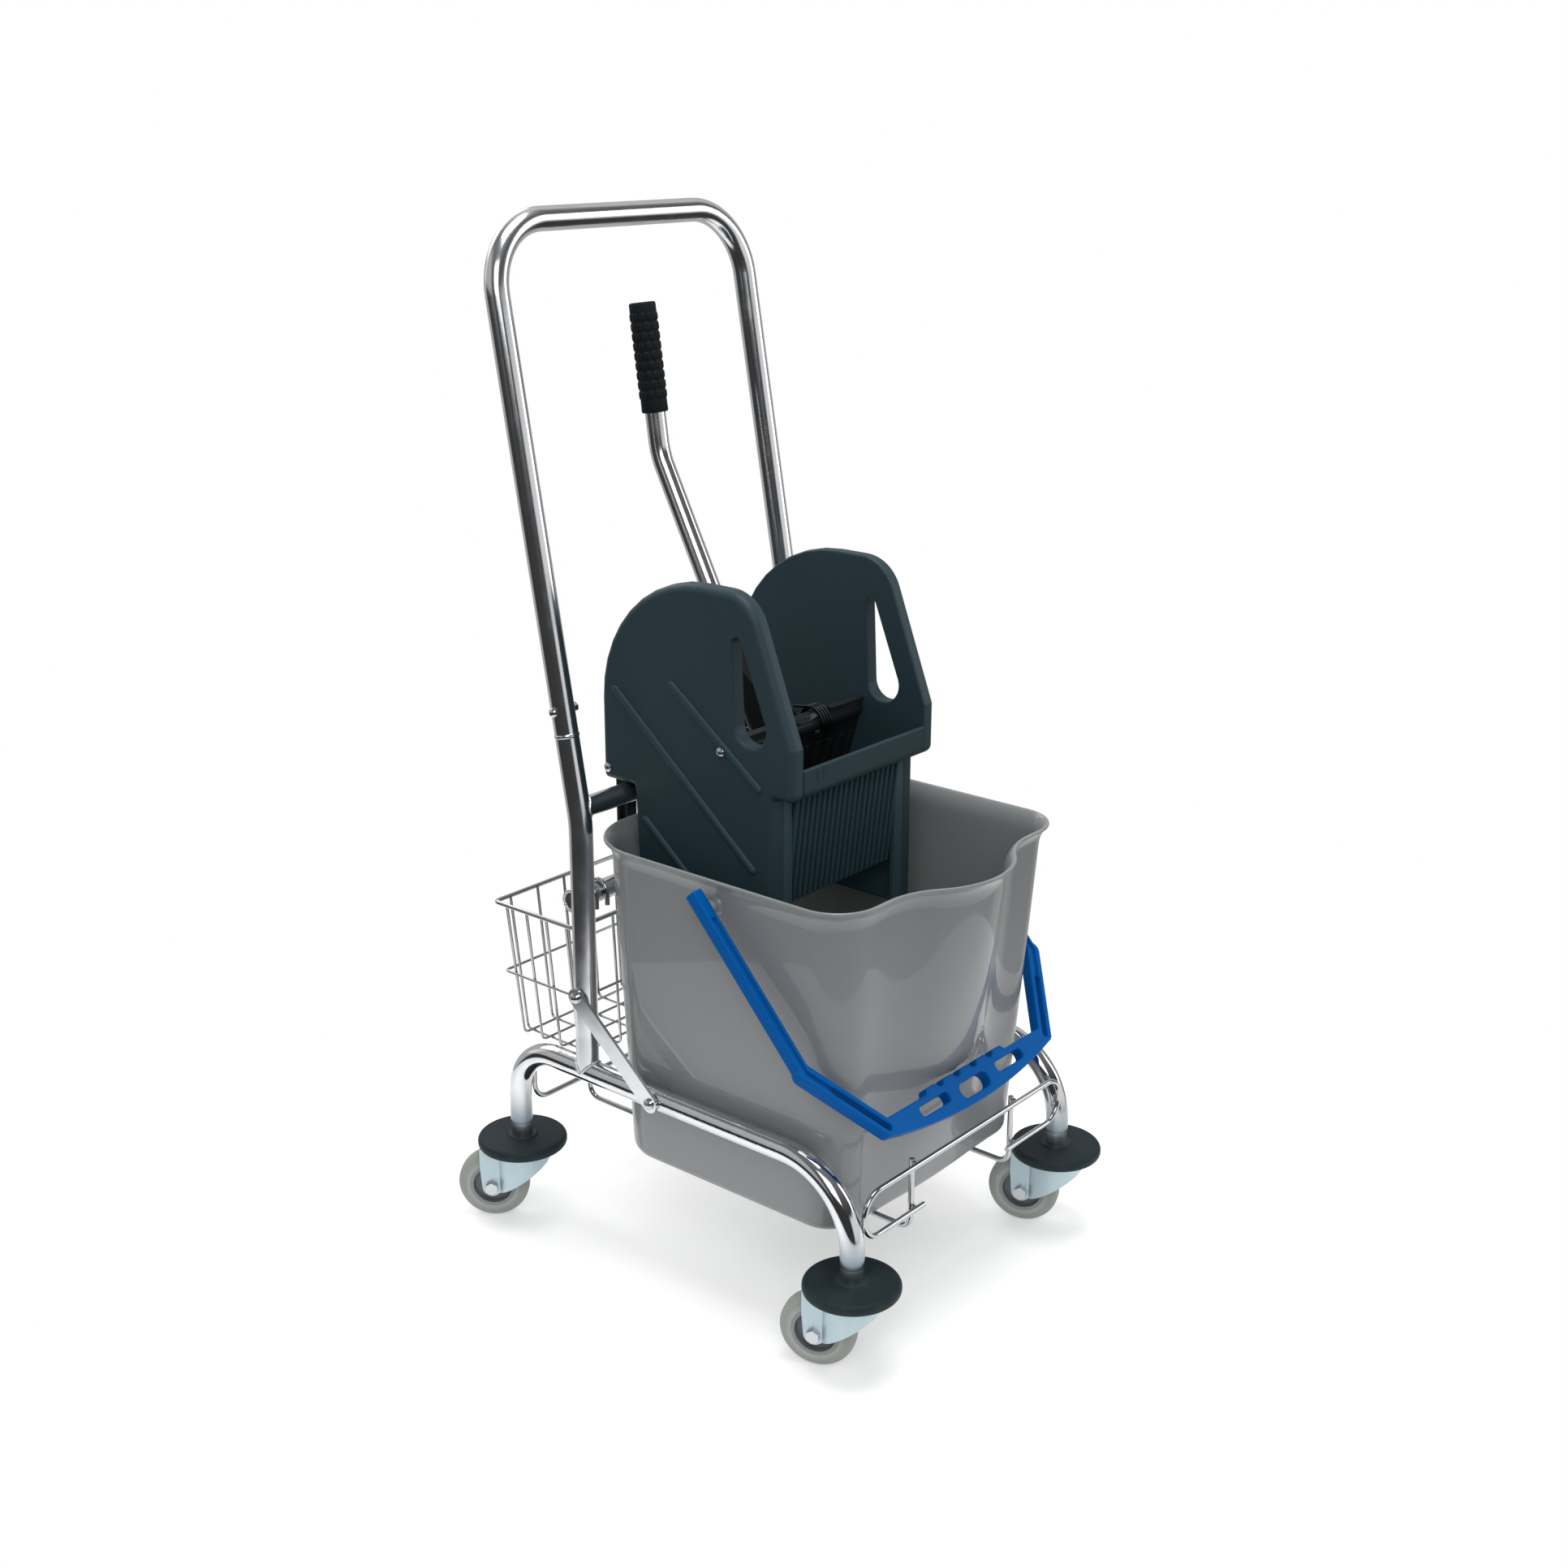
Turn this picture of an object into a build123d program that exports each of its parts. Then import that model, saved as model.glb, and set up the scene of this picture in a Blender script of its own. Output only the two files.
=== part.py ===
"""Single-bucket mop trolley with a hanging press wringer.

Millimetres.  +Z is up, +X is right seen from the front, +Y points to the rear,
where the push handle stands.  The origin is on the floor, midway between the casters.
"""
import os
from math import asin, atan2, cos, degrees, hypot, radians, sin, sqrt, tan

from build123d import *

# Fits and clearances
RUNNING_CLEARANCE = 0.05
BOLT_CLEARANCE = 0.2
WELD_GAP = 0.2
SEAT_GAP = 0.3
PART_GAP = 0.4

# Frame tubes
TUBE_DIAMETER = 25.0
TUBE_WALL = 1.5
TRACK = 370.0
WHEELBASE = 472.0
RAIL_HEIGHT = 214.0
LEG_END_HEIGHT = 117.0
FRONT_BEND_RADIUS = 85.0
REAR_BEND_RADIUS = 60.0

# Uprights, push handle and crossbars
UPRIGHT_Y = 127.0
UPRIGHT_BEND_HEIGHT = 498.0
UPRIGHT_BEND_RADIUS = 150.0
HANDLE_LEAN = 10.1
HANDLE_JOINT_HEIGHT = 589.0
HANDLE_HEIGHT = 1094.0
HANDLE_CORNER_RADIUS = 72.0
SPIGOT_LENGTH = 46.0
HANDLE_BOLT_RISE = 26.0
HANDLE_BOLT_DIAMETER = 5.0
CROSSBAR_DIAMETER = 22.0
UPPER_CROSSBAR_HEIGHT = 511.0
LOWER_CROSSBAR_HEIGHT = 405.0
LOWER_CROSSBAR_SETBACK = 17.0

# Diagonal braces
BRACE_WIDTH = 20.0
BRACE_THICKNESS = 3.5
BRACE_TOP_HEIGHT = 304.0
BRACE_FOOT_Y = 22.0
BRACE_BOLT_DIAMETER = 6.0
NUT_HEIGHT = 5.0
BRACE_NUT_HEIGHT = 2.0

# Wire cradle under the bucket
WIRE_DIAMETER = 6.0
LOOP_STAND_OFF = 6.5
LOOP_TOP_HEIGHT = 189.0
LOOP_RETURN_HEIGHT = 139.0
LOOP_RETURN_END = 75.0
REAR_LOOP_TOP_HEIGHT = 178.0
REAR_LOOP_HEIGHT = 138.0
SUPPORT_WIRE_SPACING = 178.0
SUPPORT_WIRE_HEIGHT = 115.0
SUPPORT_WIRE_BEND = 14.0
SUPPORT_WIRE_TIP = 6.0

# Casters
WHEEL_DIAMETER = 80.0
TYRE_WIDTH = 24.0
TYRE_CROWN_RADIUS = 9.0
WHEEL_CORE_DIAMETER = 52.0
WHEEL_WEB = 9.0
WHEEL_HUB_DIAMETER = 20.0
WHEEL_HUB_WIDTH = 28.0
AXLE_DIAMETER = 8.0
CASTER_TRAIL = 34.0
FRONT_LEFT_CASTER_ANGLE = 110.3
FRONT_RIGHT_CASTER_ANGLE = 110.2
REAR_LEFT_CASTER_ANGLE = 127.5
REAR_RIGHT_CASTER_ANGLE = 127.5
FORK_THICKNESS = 2.5
FORK_EYE_DIAMETER = 22.0
FORK_HEAD_DIAMETER = 60.0
FORK_TIP = 13.0
FORK_SKIRT = 25.0
FORK_PLATE_THICKNESS = 3.0
BUMPER_DIAMETER = 100.0
BUMPER_THICKNESS = 12.0
BUMPER_EDGE_RADIUS = 5.0
BUMPER_HEIGHT = 88.0
BUMPER_BOSS_DIAMETER = 36.0
BUMPER_BOSS_RISE = 2.0
STEM_COLLAR_DIAMETER = 24.0
STEM_NECK_DIAMETER = 18.0
STEM_INSERT_LENGTH = 10.0
KINGPIN_DIAMETER = 12.0
KINGPIN_HEAD_DIAMETER = 20.0
KINGPIN_HEAD_HEIGHT = 4.0

# Bucket
BUCKET_HEIGHT = 363.0
BUCKET_WALL = 3.0
BUCKET_SIDE_GAP = 8.5
BUCKET_TOP_HALF_WIDTH = 181.5
BUCKET_REAR_BASE = 110.0
BUCKET_REAR_TOP = 126.0
BUCKET_FRONT_BASE = 198.0
BUCKET_FRONT_TOP = 217.0
BUCKET_REAR_CORNER_BASE = 52.0
BUCKET_REAR_CORNER_TOP = 70.0
BUCKET_FRONT_CORNER = 40.0
BUCKET_SPOUT_HALF_WIDTH = 120.0
BUCKET_SPOUT_BASE = 3.0
BUCKET_SPOUT_TOP = 41.0
BUCKET_FOOT_RADIUS = 12.0
LIP_HEIGHT = 19.0
LIP_FLARE = 8.5

# Bail, the bucket's swinging handle
BAIL_PIVOT_Y = -55.0
BAIL_BOSS_MARGIN = 3.5
BAIL_REST_GAP = 1.0
BAIL_ARM_WIDTH = 12.5
BAIL_ARM_OVERRUN = 20.0
BAIL_THICKNESS = 14.0
BAIL_ELBOW_RADIUS = 189.0
BAIL_GRIP_RADIUS = 274.0
BAIL_GRIP_HALF_WIDTH = 139.0
BAIL_GRIP_DEPTH = 18.0
BAIL_GRIP_BOW = 15.0
BAIL_GRIP_SLOT_LENGTH = 48.0
BAIL_GRIP_SLOT_PLACE = 66.0
BAIL_PEG_DIAMETER = 10.0
BAIL_BOSS_DIAMETER = 15.0
BAIL_FINGER_COUNT = 5
BAIL_FINGER_PITCH = 29.0
BAIL_FINGER_HEIGHT = 5.5

# Wire basket hung on the lower crossbar
BASKET_WIRE = 3.2
BASKET_RIM_WIRE = 5.0
BASKET_RIM_HEIGHT = 362.0
BASKET_MID_HEIGHT = 278.0
BASKET_FLOOR_HEIGHT = 200.0
BASKET_RIM_HALF_WIDTH = 165.0
BASKET_FLOOR_HALF_WIDTH = 152.0
BASKET_RIM_REAR = 287.0
BASKET_FLOOR_REAR = 279.0
BASKET_BACK_WIRES = 8
BASKET_SIDE_WIRES = 4
BASKET_HOOK_SPACING = 308.0
BASKET_HOOK_WIDTH = 16.0
BASKET_HOOK_DROP = 12.0

# Wringer side plates
PLATE_THICKNESS = 18.0
PLATE_HALF_SPAN = 118.0
PLATE_FRONT = -102.0
PLATE_REAR = 160.0
PLATE_FOOT_HEIGHT = 372.0
PLATE_BODY_FRONT = -76.0
PLATE_SHOULDER_RADIUS = 140.0
PLATE_TOP_FRONT = -45.0
PLATE_TOP_RADIUS = 46.0
PLATE_EDGE_RADIUS = 7.0
BEAM_BOTTOM = 548.0
BEAM_TOP = 603.0
POST_WIDTH = 14.0
POST_DEPTH = 7.0
WINDOW_TOP = (-28.0, 700.0)
WINDOW_TOP_RADIUS = 6.0
WINDOW_FOOT = (-46.0, 617.0)
WINDOW_FOOT_RADIUS = 20.0
PLATE_RIB_WIDTH = 9.0
PLATE_RIB_HEIGHT = 3.0
PLATE_RIBS = (((138.0, 624.0), (-50.0, 468.0)),
              ((58.0, 643.0), (-58.0, 556.0)),
              ((98.0, 489.0), (38.0, 440.0)))

# Wringer grid, hooks and rods
GRID_SHEET = 4.0
GRID_FOOT = (-62.0, 427.0)
GRID_RETURN = 14.0
GRID_RIB_COUNT = 20
GRID_RIB_THICKNESS = 4.0
GRID_RIB_HEIGHT = 3.0
HOOK_SLOT_CLEARANCE = 2.0
HOOK_LEG_DEPTH = 16.0
HOOK_LEG_WIDTH = 14.0
HOOK_LEG_FOOT = 437.0
HOOK_LEG_TOP = 550.0
HOOK_WINDOW_HEIGHT = 20.0
SPACER_DIAMETER = 16.0
WRINGER_BOLT_DIAMETER = 6.0
REAR_SPACER = (151.0, 536.0)
FOOT_SPACER = (80.0, 390.0)
BOLT_HEAD_HEIGHT = 3.5

# Press jaw, lever and return spring
PIVOT_Y = -11.0
PIVOT_HEIGHT = 586.0
PIVOT_SHAFT_DIAMETER = 12.0
JAW_SIDE_GAP = 4.0
JAW_REST_ANGLE = 16.0
JAW_LENGTH = 158.0
JAW_THICKNESS = 6.0
JAW_FRONT_OFFSET = 9.0
JAW_LIP_RISE = 16.0
JAW_HUB_DIAMETER = 22.0
JAW_RIB_COUNT = 10
JAW_RIB_HEIGHT = 3.0
JAW_DIP_RADIUS = 34.0
GUSSET_THICKNESS = 5.0
LEVER_DIAMETER = 22.0
LEVER_WALL = 1.5
LEVER_SETBACK = 47.0
LEVER_LEAN = 27.5
LEVER_LENGTH = 322.0
LEVER_BEND_RADIUS = 80.0
LEVER_GRIP_LEAN = 8.3
LEVER_TIP_LENGTH = 154.0
SOCKET_WALL = 4.0
SOCKET_LENGTH = 112.0
LEVER_BOLT_DIAMETER = 6.0
GRIP_DIAMETER = 30.0
GRIP_LENGTH = 114.0
GRIP_END_WALL = 4.0
SPRING_WIRE = 3.0
SPRING_RADIUS = 16.0
SPRING_PITCH = 4.4
SPRING_HALF_TURNS = 7
SPRING_START_X = 21.0
SPRING_LEG = 52.0
SPRING_PEG_DIAMETER = 8.0

# Places that follow from the sizes above
tube_radius = TUBE_DIAMETER / 2
tube_bore = tube_radius - TUBE_WALL
side_x = TRACK / 2
leg_y = WHEELBASE / 2
caster_places = {"front_left": (-side_x, -leg_y, FRONT_LEFT_CASTER_ANGLE),
                 "front_right": (side_x, -leg_y, FRONT_RIGHT_CASTER_ANGLE),
                 "rear_left": (-side_x, leg_y, REAR_LEFT_CASTER_ANGLE),
                 "rear_right": (side_x, leg_y, REAR_RIGHT_CASTER_ANGLE)}
wire_radius = WIRE_DIAMETER / 2
front_loop_y = -leg_y - LOOP_STAND_OFF
rear_loop_y = leg_y - LOOP_STAND_OFF
loop_bend = (LOOP_TOP_HEIGHT - LOOP_RETURN_HEIGHT) / 2 - 1
leg_contact = tube_radius + wire_radius + WELD_GAP
wire_step = WIRE_DIAMETER + WELD_GAP
crossbar_radius = CROSSBAR_DIAMETER / 2
lean_slope = tan(radians(HANDLE_LEAN))
plate_inner = PLATE_HALF_SPAN - PLATE_THICKNESS
bucket_floor = SUPPORT_WIRE_HEIGHT + wire_radius + SEAT_GAP
bucket_rim = bucket_floor + BUCKET_HEIGHT
bail_pivot_height = bucket_rim - LIP_HEIGHT - BAIL_BOSS_DIAMETER / 2 - BAIL_BOSS_MARGIN
bucket_wall_height = BUCKET_HEIGHT - LIP_HEIGHT
bucket_base_half_width = side_x - tube_radius - BUCKET_SIDE_GAP
bucket_draft = (BUCKET_TOP_HALF_WIDTH - bucket_base_half_width) / bucket_wall_height
rim_half_width = BUCKET_TOP_HALF_WIDTH + bucket_draft * LIP_HEIGHT + LIP_FLARE
bail_arm_inner = rim_half_width + 2 * PART_GAP
bail_grip_top = BAIL_GRIP_RADIUS - BAIL_GRIP_DEPTH / 2
bail_grip_low = BAIL_GRIP_RADIUS + BAIL_GRIP_DEPTH / 2
bail_inner_radius = bail_grip_top - BAIL_FINGER_HEIGHT
bulge_base = BUCKET_FRONT_BASE + BUCKET_SPOUT_BASE
bulge_top = BUCKET_FRONT_TOP + BUCKET_SPOUT_TOP
bulge_tilt = atan2(bulge_top - bulge_base, bucket_wall_height)
bulge_reach = bulge_base + (bail_pivot_height - bucket_floor) * tan(bulge_tilt) + BAIL_PIVOT_Y
bail_stand_off = bulge_reach * cos(bulge_tilt) + BAIL_REST_GAP
rest_on_bulge = (asin(bail_stand_off / hypot(bail_inner_radius, BAIL_THICKNESS / 2))
                 + atan2(BAIL_THICKNESS / 2, bail_inner_radius) - bulge_tilt)
wire_reach = BAIL_PIVOT_Y - front_loop_y
wire_drop = bail_pivot_height - LOOP_TOP_HEIGHT
wire_stand_off = BAIL_THICKNESS / 2 + wire_radius + BAIL_REST_GAP
rest_on_wire = atan2(wire_reach, wire_drop) + asin(wire_stand_off / hypot(wire_reach, wire_drop))
bail_rest_angle = max(rest_on_bulge, rest_on_wire)
pivot = Vector(0, PIVOT_Y, PIVOT_HEIGHT)


def upright_y(height):
    """Where the upright and push handle axis stands at a height."""
    return UPRIGHT_Y + max(0.0, height - UPRIGHT_BEND_HEIGHT) * lean_slope


upper_crossbar_y = upright_y(UPPER_CROSSBAR_HEIGHT)
lower_crossbar_y = UPRIGHT_Y + LOWER_CROSSBAR_SETBACK
hook_height = UPPER_CROSSBAR_HEIGHT + crossbar_radius + SEAT_GAP
hook_front = upper_crossbar_y - crossbar_radius - HOOK_SLOT_CLEARANCE
hook_rear = upper_crossbar_y + crossbar_radius + HOOK_SLOT_CLEARANCE


# Shared shapes

def rod(start, end, radius, bore=0.0):
    """Straight round bar, or tube, between two points."""
    axis = Vector(*end) - Vector(*start)
    section = Circle(radius)
    if bore > 0:
        section -= Circle(bore)
    return extrude(Plane(origin=start, z_dir=axis) * section, amount=axis.length)


def bent_bar(points, bends, radius, bore=0.0):
    """Round bar, or tube, bent along a path of straight runs and arcs."""
    path = FilletPolyline(*points, radius=bends)
    section = Circle(radius)
    if bore > 0:
        section -= Circle(bore)
    return sweep(Plane(origin=path @ 0, z_dir=path % 0) * section, path=path)


def across(y, z, half_length, radius):
    """Round bar across the trolley, centred on its middle plane."""
    return rod((-half_length, y, z), (half_length, y, z), radius)


def side_profile(face, near, far):
    """A face drawn in (y, z), drawn out in X from near to far."""
    return extrude(Plane(origin=(near, 0, 0), x_dir=(0, 1, 0), z_dir=(1, 0, 0)) * face, amount=far - near)


def strap(start, end, width):
    """Flat outline with round ends between two points."""
    run_x = end[0] - start[0]
    run_y = end[1] - start[1]
    middle = ((start[0] + end[0]) / 2, (start[1] + end[1]) / 2)
    turn = degrees(atan2(run_y, run_x))
    return Pos(*middle) * Rot(0, 0, turn) * SlotCenterToCenter(hypot(run_x, run_y), width)


def hex_piece(centre, axis, flats, height):
    """Hexagon head or nut, drawn from a centre along an axis."""
    face = RegularPolygon(flats / 2, 6, major_radius=False)
    return extrude(Plane(origin=centre, z_dir=axis) * face, amount=height)


def dome_head(centre, axis, radius, height):
    """Low domed bolt head standing on a centre: a flank under a round cap."""
    flank = height * 0.4
    cap = height - flank
    sphere = (radius ** 2 + cap ** 2) / (2 * cap)
    half_turn = asin(min(1.0, radius / sphere)) / 2
    middle = (sphere * sin(half_turn), height - sphere + sphere * cos(half_turn))
    crown = ThreePointArc((radius, flank), middle, (0, height))
    sides = Line((0, 0), (radius, 0)) + Line((radius, 0), (radius, flank))
    outline = sides + crown + Line((0, height), (0, 0))
    head = revolve(Plane.XZ * make_face(outline), axis=Axis.Z)
    return Plane(origin=centre, z_dir=axis) * head


def group(pieces):
    """Several separate solids kept together."""
    return Compound([piece.solid() for piece in pieces])


# Frame

def rail_path(side):
    """Route of one side rail with its front and rear legs."""
    x = side * side_x
    return [(x, -leg_y, LEG_END_HEIGHT), (x, -leg_y, RAIL_HEIGHT),
            (x, leg_y, RAIL_HEIGHT), (x, leg_y, LEG_END_HEIGHT)]


def side_rail(side):
    """Rail tube bent down into two legs, drilled for the brace bolt."""
    tube = bent_bar(rail_path(side), [FRONT_BEND_RADIUS, REAR_BEND_RADIUS], tube_radius, tube_bore)
    return tube - brace_bolt_hole(side, BRACE_FOOT_Y, RAIL_HEIGHT)


def brace_bolt_hole(side, y, z):
    """Clearance hole for a brace bolt through a tube and the brace."""
    reach = tube_radius + BRACE_WIDTH
    start = (side * side_x - reach, y, z)
    end = (side * side_x + reach, y, z)
    return rod(start, end, BRACE_BOLT_DIAMETER / 2 + BOLT_CLEARANCE)


def upright_path(side):
    """Route of one upright, from the rail axis to the handle joint."""
    x = side * side_x
    return [(x, UPRIGHT_Y, RAIL_HEIGHT), (x, UPRIGHT_Y, UPRIGHT_BEND_HEIGHT),
            (x, upright_y(HANDLE_JOINT_HEIGHT), HANDLE_JOINT_HEIGHT)]


def lean_point(side, rise):
    """Point on the leaning axis, a distance along it from the handle joint."""
    lean = radians(HANDLE_LEAN)
    return (side * side_x, upright_y(HANDLE_JOINT_HEIGHT) + rise * sin(lean),
            HANDLE_JOINT_HEIGHT + rise * cos(lean))


def upright(side):
    """Upright coped onto the rail, with a swaged spigot at its top."""
    tube = bent_bar(upright_path(side), UPRIGHT_BEND_RADIUS, tube_radius, tube_bore)
    x = side * side_x
    rail = rod((x, -leg_y, RAIL_HEIGHT), (x, leg_y, RAIL_HEIGHT), tube_radius + WELD_GAP)
    spigot_radius = tube_bore - RUNNING_CLEARANCE
    spigot = rod(lean_point(side, -TUBE_WALL), lean_point(side, SPIGOT_LENGTH),
                 spigot_radius, spigot_radius - TUBE_WALL)
    shoulder = rod(lean_point(side, -TUBE_WALL), lean_point(side, 0), tube_radius, spigot_radius - TUBE_WALL)
    holes = brace_bolt_hole(side, UPRIGHT_Y, BRACE_TOP_HEIGHT) + handle_bolt_hole(side)
    return tube - rail + shoulder + spigot - holes


def handle_bolt_hole(side):
    """Clearance hole through the handle tube and the spigot inside it."""
    x, y, z = lean_point(side, HANDLE_BOLT_RISE)
    reach = TUBE_DIAMETER
    return rod((x - reach, y, z), (x + reach, y, z), HANDLE_BOLT_DIAMETER / 2 + BOLT_CLEARANCE)


def push_handle():
    """Bent handle tube slipped over the two spigots."""
    top_y = upright_y(HANDLE_HEIGHT)
    points = [lean_point(-1, SEAT_GAP), (-side_x, top_y, HANDLE_HEIGHT),
              (side_x, top_y, HANDLE_HEIGHT), lean_point(1, SEAT_GAP)]
    tube = bent_bar(points, HANDLE_CORNER_RADIUS, tube_radius, tube_bore)
    return tube - handle_bolt_hole(-1) - handle_bolt_hole(1)


def through_bolt(inner, outer, diameter, nut_height):
    """Bolt with a nut at its inner end and a domed head at its outer end."""
    axis = Vector(*outer) - Vector(*inner)
    shank = rod(inner, outer, diameter / 2)
    nut = hex_piece(inner, -axis, diameter * 1.8, nut_height)
    return shank + dome_head(outer, axis, diameter, NUT_HEIGHT) + nut


def handle_bolts():
    """Bolt through each handle joint."""
    bolts = []
    for side in (-1, 1):
        x, y, z = lean_point(side, HANDLE_BOLT_RISE)
        reach = tube_radius + SEAT_GAP
        inner = (x - side * reach, y, z)
        outer = (x + side * reach, y, z)
        bolts.append(through_bolt(inner, outer, HANDLE_BOLT_DIAMETER, NUT_HEIGHT))
    return group(bolts)


def crossbar(y, height):
    """Bar between the uprights, coped to their tubes."""
    bar = across(y, height, side_x, crossbar_radius)
    for side in (-1, 1):
        bar -= bent_bar(upright_path(side), UPRIGHT_BEND_RADIUS, tube_radius + WELD_GAP)
    return bar


def brace(side):
    """Flat diagonal strap bolted to the outer side of an upright and its rail."""
    face = strap((UPRIGHT_Y, BRACE_TOP_HEIGHT), (BRACE_FOOT_Y, RAIL_HEIGHT), BRACE_WIDTH)
    near = side_x + tube_radius + WELD_GAP
    bar = side_profile(face, near, near + BRACE_THICKNESS)
    if side < 0:
        bar = mirror(bar, about=Plane.YZ)
    top_hole = brace_bolt_hole(side, UPRIGHT_Y, BRACE_TOP_HEIGHT)
    foot_hole = brace_bolt_hole(side, BRACE_FOOT_Y, RAIL_HEIGHT)
    return bar - top_hole - foot_hole


def brace_bolts():
    """Two bolts for each brace."""
    bolts = []
    for side in (-1, 1):
        for y, z in ((UPRIGHT_Y, BRACE_TOP_HEIGHT), (BRACE_FOOT_Y, RAIL_HEIGHT)):
            inner = (side * (side_x - tube_radius - SEAT_GAP), y, z)
            outer = (side * (side_x + tube_radius + 2 * WELD_GAP + BRACE_THICKNESS), y, z)
            bolts.append(through_bolt(inner, outer, BRACE_BOLT_DIAMETER, BRACE_NUT_HEIGHT))
    return group(bolts)


# Wire cradle

def hairpin_x():
    """How far out the front loop's ends reach, where the wire just stands off the bent legs."""
    middle = (LOOP_TOP_HEIGHT + LOOP_RETURN_HEIGHT) / 2
    bend_y = FRONT_BEND_RADIUS - leg_y
    bend_z = RAIL_HEIGHT - FRONT_BEND_RADIUS
    needed = [0.0]
    for step in range(-20, 21):
        rise = loop_bend * step / 20
        lead = hypot(bend_y - front_loop_y, max(0.0, middle + rise - bend_z)) - FRONT_BEND_RADIUS
        if lead < leg_contact:
            needed.append(sqrt(leg_contact ** 2 - lead ** 2) - loop_bend + sqrt(loop_bend ** 2 - rise ** 2))
    return side_x - max(needed)


def front_wire_loop():
    """Wire from leg to leg, turned back on itself at both ends."""
    end = hairpin_x()
    corners = [(-LOOP_RETURN_END, LOOP_RETURN_HEIGHT), (-end, LOOP_RETURN_HEIGHT), (-end, LOOP_TOP_HEIGHT),
               (end, LOOP_TOP_HEIGHT), (end, LOOP_RETURN_HEIGHT), (LOOP_RETURN_END, LOOP_RETURN_HEIGHT)]
    return bent_bar([(x, front_loop_y, z) for x, z in corners], loop_bend, wire_radius)


def rear_wire_loop():
    """Shallow wire bow between the rear legs."""
    bend = (REAR_LOOP_TOP_HEIGHT - REAR_LOOP_HEIGHT) / 2
    end = side_x - leg_contact
    corners = [(-end, REAR_LOOP_TOP_HEIGHT), (-end, REAR_LOOP_HEIGHT),
               (end, REAR_LOOP_HEIGHT), (end, REAR_LOOP_TOP_HEIGHT)]
    return bent_bar([(x, rear_loop_y, z) for x, z in corners], bend, wire_radius)


def support_wire(side):
    """Wire under the bucket, turned up behind both loops."""
    x = side * SUPPORT_WIRE_SPACING / 2
    near = front_loop_y + wire_step
    far = rear_loop_y - wire_step
    points = [(x, near, LOOP_TOP_HEIGHT + SUPPORT_WIRE_TIP), (x, near, SUPPORT_WIRE_HEIGHT),
              (x, far, SUPPORT_WIRE_HEIGHT), (x, far, REAR_LOOP_HEIGHT + SUPPORT_WIRE_TIP)]
    return bent_bar(points, SUPPORT_WIRE_BEND, wire_radius)


# Casters, drawn with the stem on Z and the wheel trailing towards +X

fork_inner = WHEEL_HUB_WIDTH / 2 + PART_GAP
fork_outer = fork_inner + FORK_THICKNESS
fork_top = BUMPER_HEIGHT - PART_GAP
fork_plate_bottom = fork_top - FORK_PLATE_THICKNESS
axle_height = WHEEL_DIAMETER / 2


def turned(outline):
    """Solid turned about Z from a closed outline drawn in (radius, height)."""
    return revolve(Plane.XZ * make_face(Polyline(*outline, close=True)), axis=Axis.Z)


def caster_stem():
    """Stem with an insert in the leg, a collar, a neck in the bumper and a kingpin below."""
    head_top = fork_plate_bottom - PART_GAP
    head_bottom = head_top - KINGPIN_HEAD_HEIGHT
    boss_top = BUMPER_HEIGHT + BUMPER_THICKNESS + BUMPER_BOSS_RISE
    insert = tube_bore - RUNNING_CLEARANCE
    steps = [(KINGPIN_HEAD_DIAMETER / 2, head_bottom, head_top),
             (KINGPIN_DIAMETER / 2, head_top, BUMPER_HEIGHT),
             (STEM_NECK_DIAMETER / 2, BUMPER_HEIGHT, boss_top),
             (STEM_COLLAR_DIAMETER / 2, boss_top, LEG_END_HEIGHT),
             (insert, LEG_END_HEIGHT, LEG_END_HEIGHT + STEM_INSERT_LENGTH)]
    outline = [(0, head_bottom)]
    for radius, low, high in steps:
        outline += [(radius, low), (radius, high)]
    outline.append((0, LEG_END_HEIGHT + STEM_INSERT_LENGTH))
    return turned(outline)


def bumper_disc():
    """Round bumper with a rounded edge and a raised boss round the stem."""
    top = BUMPER_HEIGHT + BUMPER_THICKNESS
    disc = Pos(0, 0, BUMPER_HEIGHT) * Cylinder(BUMPER_DIAMETER / 2, BUMPER_THICKNESS,
                                               align=(Align.CENTER, Align.CENTER, Align.MIN))
    disc = fillet(disc.edges().filter_by(GeomType.CIRCLE), BUMPER_EDGE_RADIUS)
    boss = Pos(0, 0, top) * Cone(BUMPER_BOSS_DIAMETER / 2, BUMPER_BOSS_DIAMETER / 2 - BUMPER_BOSS_RISE,
                                 BUMPER_BOSS_RISE, align=(Align.CENTER, Align.CENTER, Align.MIN))
    bore = rod((0, 0, 0), (0, 0, LEG_END_HEIGHT), STEM_NECK_DIAMETER / 2 + RUNNING_CLEARANCE)
    return disc + boss - bore


def fork_plan(inset):
    """Fork seen from above: a round head on the kingpin and a straight mouth over the wheel."""
    tip = CASTER_TRAIL + FORK_TIP - inset
    mouth = Pos(tip / 2, 0) * Rectangle(tip, 2 * (fork_outer - inset))
    return Circle(FORK_HEAD_DIAMETER / 2 - inset) + mouth


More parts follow.
